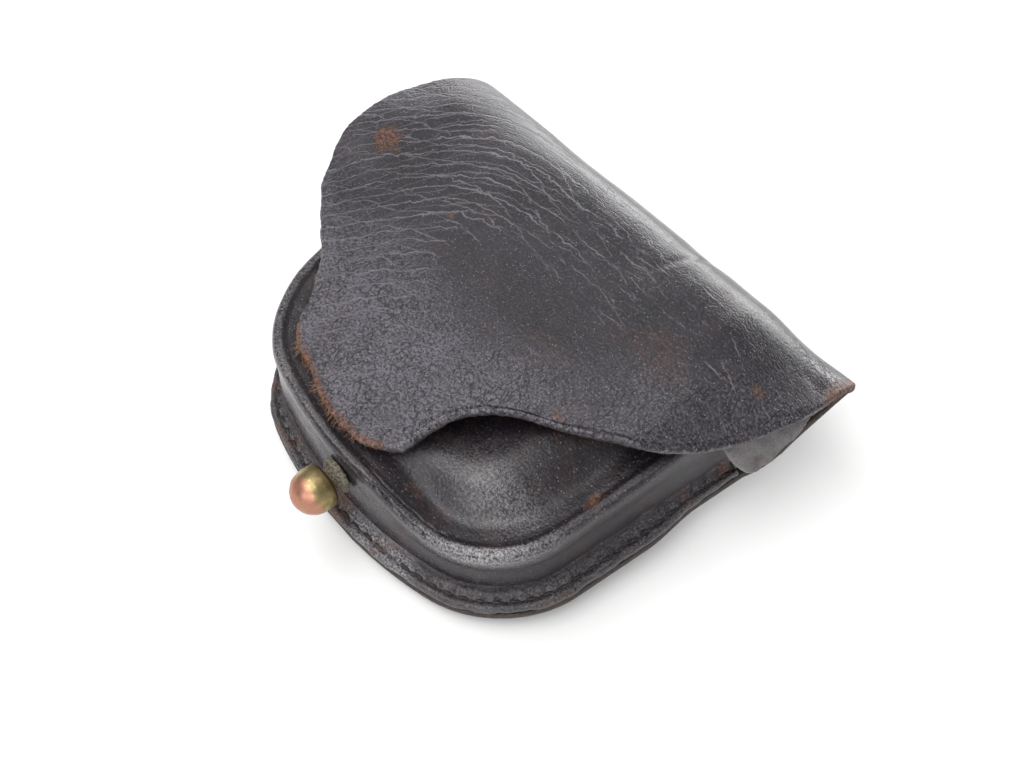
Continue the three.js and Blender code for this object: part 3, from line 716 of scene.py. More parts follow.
# ---- Back, fold and flap: one piece of leather -------------------------------------------------
# The right end of the fold is pressed flat into a narrow point.
PRESSED = spline([(23.6, 3.2), (28.4, 4.8), (33.2, 7.2), (36.8, 8.6), (37.7, 9.7), (36.4, 10.9),
                  (33.1, 12.7), (28.6, 14.2), (23.6, 16.6)], 181)
FLAP_LEFT = [(-43.9, 23.6), (-45.5, 17.4), (-45.5, 11), (-45.0, 6.2), (-43.4, 1.3), (-40.7, -3.0),
             (-38.1, -5.3), (-32.7, -9.4), (-27.0, -13.6), (-23.2, -18.4), (-20.2, -23.2)]
FLAP_RIGHT = [(41.2, 23.6), (40.2, 20.4), (38.6, 15.2), (36.6, 9.8), (34.0, 4.9), (30.9, 1.0), (27.0, -1.5),
              (20.8, -5.4), (16.0, -7.7), (12.3, -10.2), (9.8, -13.0), (7.9, -16.2), (7.1, -20.3),
              (6.8, -24.4)]
FLAP_TIP = [(-20.2, -23.2), (-17.2, -24.8), (-13.6, -26.0), (-10.6, -27.0), (-6.9, -28.1), (-3.6, -28.2),
            (-0.6, -28.0), (2.0, -27.8), (4.6, -26.4), (6.8, -24.4)]
QUARTER = math.pi / 2
ACROSS = 236  # points across the leather
FOLD_ROWS, FLAP_ROWS = 45, 190
U = np.linspace(0, 1, ACROSS)[:, None]


def pressing(x):
    """0 where the fold is round, 1 where it is pressed flat."""
    return ss(x, 24, 43)


def pressed_lift(x, y):
    """How far the pressed end of the fold lifts the back behind the mouth."""
    return 3.2 * pressing(x) * ss(y, 17.5, ROLL_Y)


def fold_section(x, angle):
    """The fold's outer surface at x, at an angle from -90 degrees (the back) to 90 (the flap)."""
    at = (angle / math.pi + 0.5) * (len(PRESSED) - 1)
    pressed_y, pressed_z = (np.interp(at, np.arange(len(PRESSED)), PRESSED[:, k]) for k in (0, 1))
    y = lerp(ROLL_Y + ROLL_R * np.cos(angle), pressed_y, pressing(x))
    return y, lerp(ROLL_R + ROLL_R * np.sin(angle), pressed_z, pressing(x))


def fold_strip(angles, turned):
    """The leather round the fold, and its lay: turned is how far round each row lies."""
    start = float(right_width(ROLL_Y))
    left = start - 0.4 * ss(angles, -1.2, 0) + 4.35 * ss(angles, 0, QUARTER) ** 1.3
    right = lerp(start, FLAP_RIGHT[0][0], ss(angles, -QUARTER, 0.2))
    x = lerp(-left, right, U)
    y, z = fold_section(x, angles)
    return xyz(x, y, z), on_sheet(x, ROLL_Y + turned * ROLL_R)


def flap_height(x, y):
    """The flap's upper surface: it falls to its tip, stands up at the left and droops at the right."""
    t = np.clip((ROLL_Y - y) / 52.4, 0, 1)
    lift = np.interp(y, [-9, -0.6, 2, 5.5, 11, 16, 20, 23.6], [-1.0, -0.8, 0.7, 1.8, 2.0, 1.6, 0.6, 0.0])
    z = 23.4 - 2.9 * t**1.6 + ss(-x, 30, 45) * lift
    return z - lerp(6.8 * pressing(x), 7.6 * ss(x, 28, 41.5), ss(ROLL_Y - y, 0, 11))


def back_and_lower_fold():
    bottom = BOTTOM_Y + 0.04
    first = bottom + 0.6 * np.linspace(0, 1, 8) ** 2
    rest = np.linspace(bottom, ROLL_Y, 150)
    y = np.r_[first[:-1], rest[rest > first[-1]]]
    x = lerp(-left_width(y), right_width(y), U)
    angles = np.linspace(-QUARTER, 0, FOLD_ROWS + 1)[1:]
    fold, fold_lay = fold_strip(angles, angles + QUARTER)
    back = xyz(x, y, pressed_lift(x, y))
    return np.concatenate([back, fold], 1), np.concatenate([on_sheet(x, y), fold_lay], 1)


def flap_and_upper_fold():
    angles = np.linspace(0, QUARTER, FOLD_ROWS + 1)[:-1]
    fold, fold_lay = fold_strip(angles, QUARTER - angles)
    lefts, rights = spline(FLAP_LEFT, FLAP_ROWS), spline(FLAP_RIGHT, FLAP_ROWS)
    tips = spline(FLAP_TIP, ACROSS)
    u, v = U[:, None], np.linspace(0, 1, FLAP_ROWS)[None, :, None]
    top = lerp(lefts[0], rights[0], u)
    plan = ((1 - u) * lefts + u * rights + (1 - v) * top + v * tips[:, None]
            - (1 - u) * (1 - v) * lefts[0] - u * (1 - v) * rights[0]
            - (1 - u) * v * tips[0] - u * v * tips[-1])
    # The torn and cut edges wander a little.
    x, y, u, v = plan[..., 0], plan[..., 1], u[..., 0], v[..., 0]
    edge = np.maximum(ss(np.abs(2 * u - 1), 0.93, 1) * ss(v, 0.02, 0.1), ss(v, 0.95, 1))
    torn = np.maximum((1 - u) * ss(v, 0.45, 0.6), ss(v, 0.9, 1) * (1 - ss(u, 0.8, 1)))
    p = on_sheet(x, y)
    amount = edge * (0.10 + 0.42 * torn)
    x = x + amount * fbm(p, 3.0, 4, 21)
    y = y + amount * fbm(p, 3.0, 4, 27)
    z = flap_height(x, y)
    for _ in range(6):
        z = np.pad(z, ((0, 0), (1, 1)), mode="edge")
        z = (z[:, :-2] + 2 * z[:, 1:-1] + z[:, 2:]) / 4
    return np.concatenate([fold, xyz(x, y, z)], 1), np.concatenate([fold_lay, on_sheet(x, y)], 1)


def dents(lay):
    """Slow hollows and ridges in old leather, as heights."""
    return 0.34 * fbm(lay, 17, 2, 1) + 0.12 * fbm(lay, 6, 2, 2)


outer, lay = back_and_lower_fold()
y = lay[..., 1]
normal = grid_normals(outer)
normal = normal * -np.sign(normal[ACROSS // 2, 60, 2])
outer = outer + normal * (dents(lay) * ss(y, ROLL_Y - 2, ROLL_Y + 10))[..., None]
crest = outer[:, -1].copy()
# The third share, grey haze, is scuffs, with a painted sheen added towards the top of the fold's roll.
masks = xyz(0.8 * ss(outer[..., 0], 38.5, 41) * ss(y, 26, 34), 0.1 + 0.08 * ss(y, 24, 34),
            0.15 + 0.25 * fbm(outer, 12, 3, 8) + 0.45 * ss(y, 30, 38))
masks = np.concatenate([masks, 0.9 * ss(y, 26, 38)[..., None]], -1)
back = slab("back_and_fold", outer, BACK_T, LEATHER, masks, lay, bulge=0.14, flat_last=True,
            inner=outer - normal * BACK_T)
add_flow(back)

outer, lay = flap_and_upper_fold()
x, y = lay[..., 0], lay[..., 1]
# Both ends of the fold run into the flap without a kink.
row = np.arange(outer.shape[1])
ease = ss(row, 14, 36) * (1 - ss(row, 74, 104)) * ss(np.abs(outer[..., 0]), 16, 32)
for _ in range(160):
    even = (outer[:, :-2] + 2 * outer[:, 1:-1] + outer[:, 2:]) / 4
    outer[:, 1:-1] = lerp(outer[:, 1:-1], even, ease[:, 1:-1, None])
normal = grid_normals(outer)
normal = normal * np.sign(normal[ACROSS // 2, 150, 2])
# The cut edge at the right is creased just inside its rim, and a soft crease crosses the fold.
from_right = apart(outer, outer[-1:])
cut = (row >= FOLD_ROWS + 5) * ss(y, -26, -18)
rim_crease = 0.10 * bell(from_right, 1.9, 0.4) - 0.24 * bell(from_right, 1.25, 0.35)
fold_crease = bell(x, 9.5 + 0.28 * (y - 20), 0.7) * ss(y, 20, 26) * (1 - ss(y, 32, 40))
outer = outer + normal * (dents(lay) + rim_crease * cut - 0.2 * fold_crease)[..., None]
outer[:, 0] = crest

near_left = 1 - ss(apart(outer, outer[:1]), 0.0, 1.6)
near_tip = 1 - ss(apart(outer, outer[:, -1:]), 0.0, 1.5)
torn_edge = np.maximum(near_left * (1 - ss(y, -24, -21.5)), near_tip * (1 - ss(x, 4, 6)))
brown_spots = [amount * spot(lay, *place_and_size) for amount, *place_and_size in (
    (0.8, -38.8, 9.2, 3.6, 4.2), (0.6, -19.4, 6.7, 1.2, 1.0), (0.6, 35, 20.6, 2.0, 1.7),
    (0.6, 18.6, -5.2, 1.7, 1.2), (0.4, 22, 13, 10, 7), (0.35, 8, 2, 12, 5), (0.3, -44, 3, 3, 9),
)]
smooth_patch = bell(x, -3, 12.0) * bell(y, 0.5, 7.0)
masks = np.zeros(outer.shape[:2] + (4,))
masks[..., 0] = np.maximum.reduce(
    brown_spots + [0.8 * ss(x, 38.2, 41) * ss(y, 26, 34), 0.8 * torn_edge, 0.35 * near_left * ss(y, 2, 8)])
masks[..., 1] = np.clip(0.3 + 0.6 * ss(-x, 5, 24) * ss(y, -16, -6) + 0.35 * ss(y, 6, 14) * (1 - ss(x, 5, 30))
                        + 0.3 * ss(-y, -4, 8) * (1 - ss(x, 6, 22)) - 0.45 * smooth_patch - 0.5 * ss(y, 26, 36)
                        + 0.15 * fbm(lay, 15, 2, 31), 0.02, 1)
# Grey haze: scuffs over the lower flap, the left edge and the lower right. Over the lower flap it is partly a
# painted sheen, and on the fold's roll (y from 31 to 36) it is a painted sheen.
masks[..., 2] = np.clip(1.05 * ss(-y, -5, 13) * (1 - 0.8 * ss(x, 8, 26)) + 0.3 * ss(-x, 36, 44)
                        + 0.45 * ss(y, 31, 36) + 0.62 * ss(x - y, 4, 20) * (1 - ss(y, 22, 30))
                        + 0.25 * fbm(lay, 11, 3, 33), 0, 1)
polished_end = ss(y, 22, 34) * (0.95 - 0.6 * ss(-x, 16, 36))
masks[..., 3] = np.clip(polished_end + 0.8 * bell(from_right, 0.4, 0.7), 0, 1)
thick = BACK_T - 0.35 * torn_edge
flap = slab("flap_and_fold", outer, thick, LEATHER, masks, lay, flat_first=True,
            inner=outer - normal * thick[..., None], ragged=0.12)
add_flow(flap)

attach(back, ["back_panel", "fold_spine"])
attach(flap, ["outer_flap"])
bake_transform(back)
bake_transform(flap)


def torn_fibres(count=760):
    """Fibres that stand out of the torn edge: the left side's lower half, and the tip."""
    rng = np.random.default_rng(7)
    rows, columns = 95, int(ACROSS * 0.86)
    edge, edge_normal, inside = (np.vstack([grid[i, -rows:], grid[:columns, j]])
                                 for grid, i, j in ((outer, 0, -1), (normal, 0, -1), (outer, 4, -5)))
    t = np.linspace(0, 1, 4)[:, None]
    fibres = []
    for _ in range(count):
        i = rng.integers(1, len(edge) - 1)
        weight = 0.35 + 0.65 * ss(edge[i, 0], -30, -16) * (1 - ss(edge[i, 0], -4, 4))
        if rng.random() > weight:
            continue
        out, down = unit(edge[i] - inside[i]), -edge_normal[i]
        start = edge[i] + down * rng.uniform(0.3, 1.5) + rng.normal(0, 0.12, 3)
        length = rng.uniform(0.35, 1.25) * (0.5 + 0.7 * weight)
        heading = unit(out + rng.normal(0, 0.45, 3) + 0.2 * down)
        bend = rng.normal(0, 0.35, 3)
        line = start - 0.3 * out + heading * length * t + bend * length * t**2
        fibres.append(tube(line, 0.055 * np.linspace(1, 0.3, 4), 4))
    return join("torn_fibres", fibres, FIBRE)


attach(torn_fibres(), body="flap")

# ---- Inner flap: light leather with an ear at each end ------------------------------------------
INNER_GAP = 2.15  # from the outer surface of the fold and flap to the lining's
INNER_X = 36.6
HEM_Z = BACK_T + 0.25


def inner_flap():
    """The sheet from its hem on the back, round inside the fold, to its front edge."""
    x = np.linspace(-1, 1, 150)[:, None] * INNER_X
    y = np.linspace(16.6, ROLL_Y, 18)[:-1]
    hem = xyz(x, y, HEM_Z + pressed_lift(x, y))
    roll = xyz(x, *fold_section(x, np.linspace(-QUARTER, QUARTER, 80)))
    roll = roll - towards(grid_normals(roll), roll - [0, ROLL_Y, ROLL_R]) * INNER_GAP
    front = 6.0 + 6.0 * ss(np.abs(x), 24, 37) + 0.25 * fbm(on_sheet(x, 0.0), 5, 3, 61)
    share = np.linspace(0, 1, 46)[1:]
    y = lerp(ROLL_Y, front, share)
    z = flap_height(x, y) - INNER_GAP
    level = np.minimum(z, 20.35 - 0.15 * ss(np.abs(x), 20, 30))
    surface = np.concatenate([hem, roll, xyz(x, y, lerp(z, level, ss(share, 0, 0.35)))], 1)
    for _ in range(8):
        surface[:, 1:-1] = (surface[:, :-2] + 2 * surface[:, 1:-1] + surface[:, 2:]) / 4
    return surface


outer = inner_flap()
normal = towards(grid_normals(outer), outer - [0, 18.0, 11.0])
lay = on_sheet(outer[..., 0], distances(outer[75]))
lining = slab("inner_flap_sheet", outer, LINING_T, LINING, None, lay,
              inner=outer - normal * LINING_T, ragged=0.05)
attach(lining, ["inner_flap", "inner_flap_hem"])
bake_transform(lining)


def ear(side, sign):
    """A rounded tongue that bends down from the inner flap's end and closes the end of the mouth."""
    rows, columns = 60, 44
    u = np.linspace(0, 1, columns)[:, None]
    front = spline([(12.4, 0.0), (12.6, 0.3), (13.4, 0.62), (15.0, 0.9), (18.2, 1.0)], rows)
    rear = spline([(27.4, 0.0), (28.5, 0.3), (28.5, 0.55), (27.0, 0.85), (23.6, 1.0)], rows)
    y, share = lerp(front[:, 0], rear[:, 0], u), lerp(front[:, 1], rear[:, 1], u)
    top_z = flap_height(sign * INNER_X, np.minimum(y, ROLL_Y)) - INNER_GAP - 0.1
    z = lerp(np.minimum(top_z, 19.8) - 0.2, 8.9 + 0.3 * (y - 16), share)
    x = 35.0 + 2.1 * ss(share, 0, 0.2) + 4.3 * ss(share, 0.1, 1.1)
    x = x + 0.5 * share * fbm(on_sheet(y, share * 9), 6, 2, 71 + sign)
    pucker_y, pucker_z = 16.5, 10.4
    x = x - 0.5 * bell(y, pucker_y, 1.0) * bell(z, pucker_z, 0.9) + 0.16 * fbm(on_sheet(y, z), 1.8, 3, 75)
    grid = xyz(sign * x, y, z)
    normal = towards(grid_normals(grid), np.array([sign, 0.0, 0.0]))
    wear = 0.8 * bell(y, pucker_y, 0.6) * bell(z, pucker_z, 0.5) + 0.25 * ss(share, 0.9, 1.0)
    obj = slab(f"ear_{side}", grid, LINING_T, LINING, xyz(wear, 0.0, 0.0), on_sheet(y, z),
               inner=grid - normal * LINING_T, ragged=0.05)
    attach(obj, [f"inner_ear_{side}"], "inner")


ear("left", -1)
ear("right", 1)
x = np.linspace(-34, 34, 80)
hem_path = xyz(x, 18.6, HEM_Z + 1.1 + pressed_lift(x, 18.6))
hem = stitches("hem_stitches", hem_path, [0, 0, 1.0])
attach(hem, ["hem_thread"], "pouch")

# ---- Moulded front -----------------------------------------------------------------------------
FLANGE_Z = BACK_T + 0.12
RIM_POINTS, WALL_POINTS, FACE_POINTS = 420, 96, 73
FLANGE_POINTS, FLAT_POINTS, HEEL_POINTS = 30, 44, 12
SEAM, AWL_PITCH = 1.6, 2.6
# The flange and wall in section: how far in from the rim, and how high.
SHELL_PROFILE = spline([
    (0.0, FLANGE_Z), (-0.12, FLANGE_Z + 0.7), (0.05, FLANGE_Z + 1.25), (0.45, FLANGE_Z + 1.55),
    (1.05, FLANGE_Z + 1.5), (SEAM, FLANGE_Z + 1.25), (2.05, FLANGE_Z + 1.5), (2.5, FLANGE_Z + 1.75),
    (2.95, FLANGE_Z + 2.2), (3.2, FLANGE_Z + 3.6), (3.4, 7.4), (3.7, 10.5), (4.0, 13.5), (4.15, 15.8),
    (4.2, 17.0), (4.45, 17.95), (4.95, 18.5), (5.6, 18.55),
], WALL_POINTS)


def shell_grids():
    """The flange and wall, and the face with each point's reach from the ridge, as grids that run round
    the rim from right to left."""
    rim = rim_curve(MOUTH_Y, RIM_POINTS)
    inwards = inward_of(rim)
    inwards[0], inwards[-1] = [-1, 0], [1, 0]
    for _ in range(3):
        inwards[1:-1] = unit(inwards[:-2] + 2 * inwards[1:-1] + inwards[2:])
    inset, z = SHELL_PROFILE.T
    x, y = rim[:, :1], rim[:, 1:]
    inset = inset + pared(rim)[:, None] * np.clip(1 - inset / 3.0, 0, 1)
    # The shoulder is rounder and lower at the front right, and stands out at the upper left.
    slumped = ss(x, 4, 22) * (1 - 0.4 * ss(y, -10, 8))
    inset = inset - 0.5 * slumped * ss(z, 11, 16.5) - 1.3 * ss(-x, 5, 25) * ss(y, -25, -10) * ss(z, 5, 16)
    z = z - 3.7 * slumped * ss(z, 6, 17.5)
    wall = xyz(x + inwards[:, :1] * inset, y + inwards[:, 1:] * inset, z)

    ridge_x, ridge_y, ridge_z = (wall[:, -1:, k] for k in range(3))
    share = np.linspace(0, 1, FACE_POINTS + 1)[1:] ** 1.6
    x, y = lerp(ridge_x, 0.0, share), lerp(ridge_y, np.clip(ridge_y, -9, MOUTH_Y), share)
    reach = np.hypot(x - ridge_x, y - ridge_y)
    z = lerp(ridge_z, RIDGE_Z - 0.9, ss(reach, 3, 14)) - 0.5 * ss(reach, 0.1, 1.5) - 0.5 * ss(reach, 1.0, 4.8)
    z = z + 1.2 * ss(reach, 4.2, 9.5) - 3.6 * ss(share, 0.36, 0.86)
    # The pillow is round, so each ring is smoothed more the further in it lies.
    for k in range(FACE_POINTS):
        for _ in range(int(90 * ss(reach[RIM_POINTS // 2, k], 2.5, 12))):
            z[1:-1, k] = (z[:-2, k] + 2 * z[1:-1, k] + z[2:, k]) / 4
    return wall, xyz(x, y, z), reach


def closed_pair(name, top, below, lay, masks, material):
    """A solid between two grids, closed along the first column and both end rows."""
    n, m = top.shape[:2]
    under = xyz(lay[..., 0], lay[..., 1], -apart(top, below))
    faces = quads(n, m) + quads(n, m, n * m, flip=True)
    rim = np.arange(n - 1) * m
    faces += np.stack([rim, rim + m, rim + m + n * m, rim + n * m], 1).tolist()
    for row in (0, n - 1):
        end = row * m + np.arange(m - 1)
        faces += np.stack([end, end + 1, end + 1 + n * m, end + n * m], 1).tolist()
    verts, lays, painted = (np.vstack([a.reshape(n * m, -1), b.reshape(n * m, -1)]) for a, b in (
        (top, below), (on_sheet(lay[..., 0], lay[..., 1]), under), (masks, masks)))
    obj = make_object(name, verts, faces, {"lay": lays, "mask": painted}, material)
    face_out(obj)
    return obj


wall, face, face_reach = shell_grids()
outer = np.concatenate([wall, face], 1)
x, y, z = outer[..., 0], outer[..., 1], outer[..., 2]
reach = np.concatenate([np.zeros(wall.shape[:2]), face_reach], 1)
on_flange = (np.arange(outer.shape[1]) < FLANGE_POINTS) + np.zeros(x.shape)
normal = grid_normals(outer)
normal = normal * np.sign((normal[RIM_POINTS // 2, 60] * [0, -1, 0.2]).sum())
# The rays of the face meet at its middle, so the leather's thickness is measured straight down there.
upright = ss(face_reach, 3, 9)[..., None]
normal[:, WALL_POINTS:] = unit(lerp(normal[:, WALL_POINTS:], np.array([0, 0, 1.0]), upright))

# Slow dents; awl marks that dimple the seam; a rough flange; a crack along the shoulder, at the front.
rim_line = distances(wall[:, 0])
awl_marks = np.cos(2 * math.pi * rim_line / (rim_line[-1] / int(rim_line[-1] / AWL_PITCH)))[:, None]
groove = bell(apart(outer[..., :2], outer[:, :1, :2]), SEAM, 0.55) * on_flange
wander = np.arange(RIM_POINTS) * 0.12
crack_line = 0.7 + 0.5 * noise(xyz(wander, wander, wander), 5)[:, None]
from_ridge = apart(outer, wall[:, -1:])
split = bell(from_ridge, crack_line, 0.16) * ss(x, 3, 9) * (1 - ss(x, 17, 22)) * (y < -20)
rise = (0.16 * fbm(outer, 9, 3, 81) + 0.06 * fbm(outer, 3.2, 3, 84)) * (1 - 0.35 * on_flange)
rise = rise - 0.26 * groove * np.clip(awl_marks, 0, 1) + 0.24 * on_flange * fbm(outer, 2.4, 4, 86)
rise = rise - 0.35 * split
dented = outer + normal * rise[..., None]
dented[:, 0, 2] = FLANGE_Z

# The inside follows at the leather's thickness, flat under the flange, with a turn at its heel.
inner = outer - normal * SHELL_T
inwards = unit(outer[:, 60, :2] - outer[:, 0, :2])[:, None]
flat_share = np.linspace(0, 1, FLAT_POINTS)[:, None]
heel_inset, heel_rise, heel = 4.75, 2.2, FLAT_POINTS + HEEL_POINTS
inner[:, :FLAT_POINTS, :2] = outer[:, :1, :2] + inwards * (flat_share * heel_inset)
inner[:, :FLAT_POINTS, 2] = FLANGE_Z + heel_rise * ss(flat_share[:, 0], 0.93, 1.0)
turn = np.arange(1, HEEL_POINTS + 1)[:, None] / (HEEL_POINTS + 1)
inner[:, FLAT_POINTS:heel] = lerp(inner[:, FLAT_POINTS - 1 : FLAT_POINTS], inner[:, heel : heel + 1], turn)
inner[..., 0] = np.where(np.abs(x) < 1e-6, 0, inner[..., 0])

# Wall coordinates run up the wall, so that the grain isn't stretched there.
lay = outer.copy()
lay[:, :WALL_POINTS, 0] = rim_line[:, None]
lay[:, :WALL_POINTS, 1] = -60 - distances(SHELL_PROFILE)
xy = on_sheet(x, y)
on_wall = (1 - on_flange) * (reach < 0.1)
shoulder = ss(z, 9.5, 13.5) * (1 - ss(reach, 0.0, 0.7))
corner = bell(x, 25.5, 9.0) * bell(y, -24, 9.0)
# Where a highlight is painted on the pillow of the face: grey haze and polish there, and less brown.
pillow_highlight = (reach > 2) * bell(x, 20.5, 9.0) * bell(y, -18, 5.0)
scuffed_flange = on_flange * ss(0.55 * fbm(outer, 5, 3, 97) + bell(x, 9, 9) * ss(-y, 26, 34), 0.45, 0.9)
masks = np.zeros(outer.shape[:2] + (4,))
masks[..., 0] = np.maximum.reduce([
    0.8 * spot(xy, 29.5, -7.9, 1.1, 2.6) * (z > 14),
    0.45 * spot(xy, 10.5, -26.5, 3.5, 1.8) * (reach > 0.5),
    (reach > 0.5) * (0.08 + 0.25 * ss(fbm(xy, 7, 3, 91), 0.1, 0.6)) * (1 - 0.8 * pillow_highlight),
    on_flange * (0.24 + 0.35 * ss(fbm(outer, 5, 3, 93), 0.0, 0.5)),
    0.35 * (z > 14) * (reach < 0.5) * ss(fbm(outer, 5, 3, 95), 0.3, 0.6),
])
masks[..., 1] = 0.12
# Grey haze: along the shoulder, strongest at the front corner and at the left, it is a painted highlight over
# worn finish; on the pillow it is a painted highlight; on the flange it is scuffs.
masks[..., 2] = np.clip(shoulder * (0.08 + 0.95 * corner + 0.3 * ss(-x, 2, 14)) + 0.2 * on_flange
                        + 0.45 * pillow_highlight + 0.6 * scuffed_flange, 0, 1)
masks[..., 3] = on_wall * 0.8 * (1 - ss(x, 24, 34)) + 0.55 * pillow_highlight
front = closed_pair("moulded_front", dented, inner, lay, masks, SHELL_LEATHER)
add_flow(front)
attach(front, ["front_shell"], "pouch")

# The seam shows on the flange, and on the rear of the back.
seam = wall[2:-2, np.argmin(np.abs(SHELL_PROFILE[:FLANGE_POINTS, 0] - SEAM))] - [0, 0, 0.06]
rim_stitches = stitches("rim_stitches", seam, [0, 0, 1.0], AWL_PITCH, 1.9, 0.28)
attach(rim_stitches, ["rim_thread"], "pouch")
rear_stitches = stitches("rear_stitches", xyz(seam[:, 0], seam[:, 1], -0.08), [0, 0, -1.0], AWL_PITCH, 2.0)
attach(rear_stitches, body="pouch")


# ---- Stud --------------------------------------------------------------------------------------
def on_stud_axis(p):
    """From a lathe round +z to the stud's axis: out of the bottom wall and a little up."""
    axis = np.array([0, -math.cos(STUD_RISE), math.sin(STUD_RISE)])
    side = np.array([1.0, 0, 0])
    return p[:, :1] * side + p[:, 1:2] * np.cross(axis, side) + p[:, 2:] * axis + [0, STUD_Y, STUD_Z]


def tarnished(p):
    return np.tile([0.6, 0.0, 0.15], (len(p), 1))


def turned(name, profile, to_place, material, segments, wobble, masks_of=tarnished):
    """A turned metal piece, from its profile round +z."""
    verts, faces = lathe(profile, segments, wobble)
    attributes = {"lay": verts, "mask": masks_of(verts)}
    obj = make_object(name, to_place(verts), faces, attributes, material, sharp=50)
    face_out(obj)
    return obj


def stud_masks(p):
    h = p[:, 2]
    tarnish = 0.45 + 0.4 * (1 - ss(h, 2.4, 4.5))
    rubbed = 0.8 * ss(h, 4.6, 6.8) + 0.25 * ss(-p[:, 1], -1, 3)
    return xyz(tarnish, rubbed, 0.95 * (1 - ss(h, 1.6, 3.1)))


shank = [(0, -4.0), (1.2, -3.9), (1.85, -3.4), (2.0, -3.05), (1.4, -3.0), (1.4, 0.3), (2.8, 0.3)]
neck = spline([
    (2.95, 0.35), (2.98, 0.8), (2.6, 1.25), (2.05, 1.6), (1.82, 2.1), (1.95, 2.5), (2.6, 2.68),
], 26)
lip = spline([(2.6, 2.68), (3.25, 2.75), (3.6, 3.05), (3.66, 3.6), (3.65, 4.4)], 20)
ball_r, ball_z = 3.65, 4.8
ball = [(ball_r * math.cos(a), ball_z + ball_r * math.sin(a)) for a in np.linspace(0.04, QUARTER - 0.02, 26)]
stud_profile = np.vstack([shank, neck, lip[1:], ball, [(0, ball_z + ball_r)]])
stud = turned("stud_knob", stud_profile, on_stud_axis, BRASS, 84, 0.035, stud_masks)
attach(stud, ["stud"], "pouch")
washer = [(1.75, -2.75), (3.1, -2.75), (3.35, -2.6), (3.4, -2.3), (3.3, -2.05), (1.75, -2.05), (1.75, -2.75)]
attach(turned("stud_washer", washer, on_stud_axis, BRASS, 48, 0.02), ["stud_burr"], "pouch")

# ---- Belt loops, their stitches and rivets -------------------------------------------------------
STAND_Y, STAND_Z = RIVET_Y - 2.7, SEWN_Z - GAP - 0.5
HEAD_Z = SEWN_Z - 0.05


def table_z(y):
    """The height at which a loop just clears the table."""
    return STAND_Z + 0.1 - (y - STAND_Y) * math.tan(LEAN)


LOOP_LINE = spline([
    (-27.5, SEWN_Z), (-24, SEWN_Z), (-19, SEWN_Z), (-16.2, SEWN_Z - 0.05), (-10, -3.2), (-3, -4.7),
    (3, table_z(3)), (6.5, table_z(6.5)), (10.5, table_z(10.5)), (14, table_z(14) + 0.03), (16.4, -5.55),
    (18.2, -3.7), (19.8, -2.25), (21.4, SEWN_Z), (24.5, SEWN_Z),
], 150)
RIVET = np.vstack([
    [(0, HEAD_Z - 0.72)],
    spline([
        (0.6, HEAD_Z - 0.71), (2.0, HEAD_Z - 0.66), (2.8, HEAD_Z - 0.5), (3.1, HEAD_Z - 0.2), (3.0, HEAD_Z),
    ], 16),
    [(1.2, HEAD_Z), (1.2, 3.1)],
    spline([(1.7, 3.1), (2.0, 3.25), (1.9, 3.6), (1.4, 3.9), (0.5, 4.02)], 12),
    [(0, 4.03)],
])
RIVET_BURR = [(1.5, 2.1), (3.15, 2.1), (3.3, 2.3), (3.25, 2.65), (3.0, 2.8), (1.5, 2.8), (1.5, 2.1)]


def belt_loop(side, sign):
    across = np.linspace(-LOOP_WIDTH / 2, LOOP_WIDTH / 2, 44)[:, None]
    grid = xyz(sign * LOOP_X + across, LOOP_LINE[:, 0], LOOP_LINE[:, 1])
    normal = towards(grid_normals(grid), np.array([0, 0, -1.0]))
    rim_crease = 0.12 * bell(np.abs(across), LOOP_WIDTH / 2 - 1.3, 0.3)
    hollows = np.clip(0.1 * fbm(grid, 8, 2, 101) - rim_crease, -1, 0)
    lay = on_sheet(grid[..., 0], distances(LOOP_LINE))
    worn_edge = 0.5 * ss(np.abs(across), 7.6, 8.5) * ss(fbm(lay, 5, 3, 103), 0.0, 0.5)
    masks = xyz(worn_edge, 0.4, 0.3 + 0.4 * fbm(lay, 7, 3, 105))
    loop = slab(f"loop_{side}", grid + normal * hollows[..., None], STRAP_T, STRAP_LEATHER, masks, lay,
                bulge=0.2, inner=grid - normal * STRAP_T)
    add_flow(loop)
    attach(loop, [f"belt_loop_{side}"], "pouch")
    for end, y in (("low", -26.0), ("high", 23.0)):
        row = xyz(np.linspace(-7.6, 7.6, 20) + sign * LOOP_X, y, SEWN_Z + 0.02)
        sewn = stitches(f"loop_stitches_{end}_{side}", row, [0, 0, -1.0], 2.5, 1.95, 0.32)
        attach(sewn, [f"loop_thread_{end}_{side}"], "pouch")

    def in_loop(p):
        return p + [sign * LOOP_X, RIVET_Y, 0]

    rivet = turned(f"rivet_{side}", RIVET, in_loop, COPPER, 48, 0.05)
    attach(rivet, [f"loop_rivet_{side}"], "pouch")
    burr = turned(f"rivet_washer_{side}", RIVET_BURR, in_loop, COPPER, 40, 0.02)
    attach(burr, [f"loop_burr_{side}"], "pouch")


belt_loop("left", -1)
belt_loop("right", 1)

# ---- Fleece ------------------------------------------------------------------------------------
x, y = np.meshgrid(np.linspace(-29, 29, 190), np.linspace(-9, 13, 76), indexing="ij")
p = on_sheet(x, y)
pile = 1.6 + 2.0 * (1 - (x / 29) ** 6) * (1 - ((y - 2) / 11) ** 4)
pile = pile + 0.38 * fbm(p, 2.4, 3, 111) + 0.22 * np.abs(noise(p * 1.1, 113))
top = xyz(x + 0.3 * noise(p * 0.7, 115), y + 0.3 * noise(p * 0.7, 117), BACK_T + 0.2 + pile)
fleece = slab("fleece_pile", top, 1.0, FLEECE, None, top, inner=xyz(x, y, BACK_T + 0.2))
attach(fleece, ["fleece_strip"], "pouch")

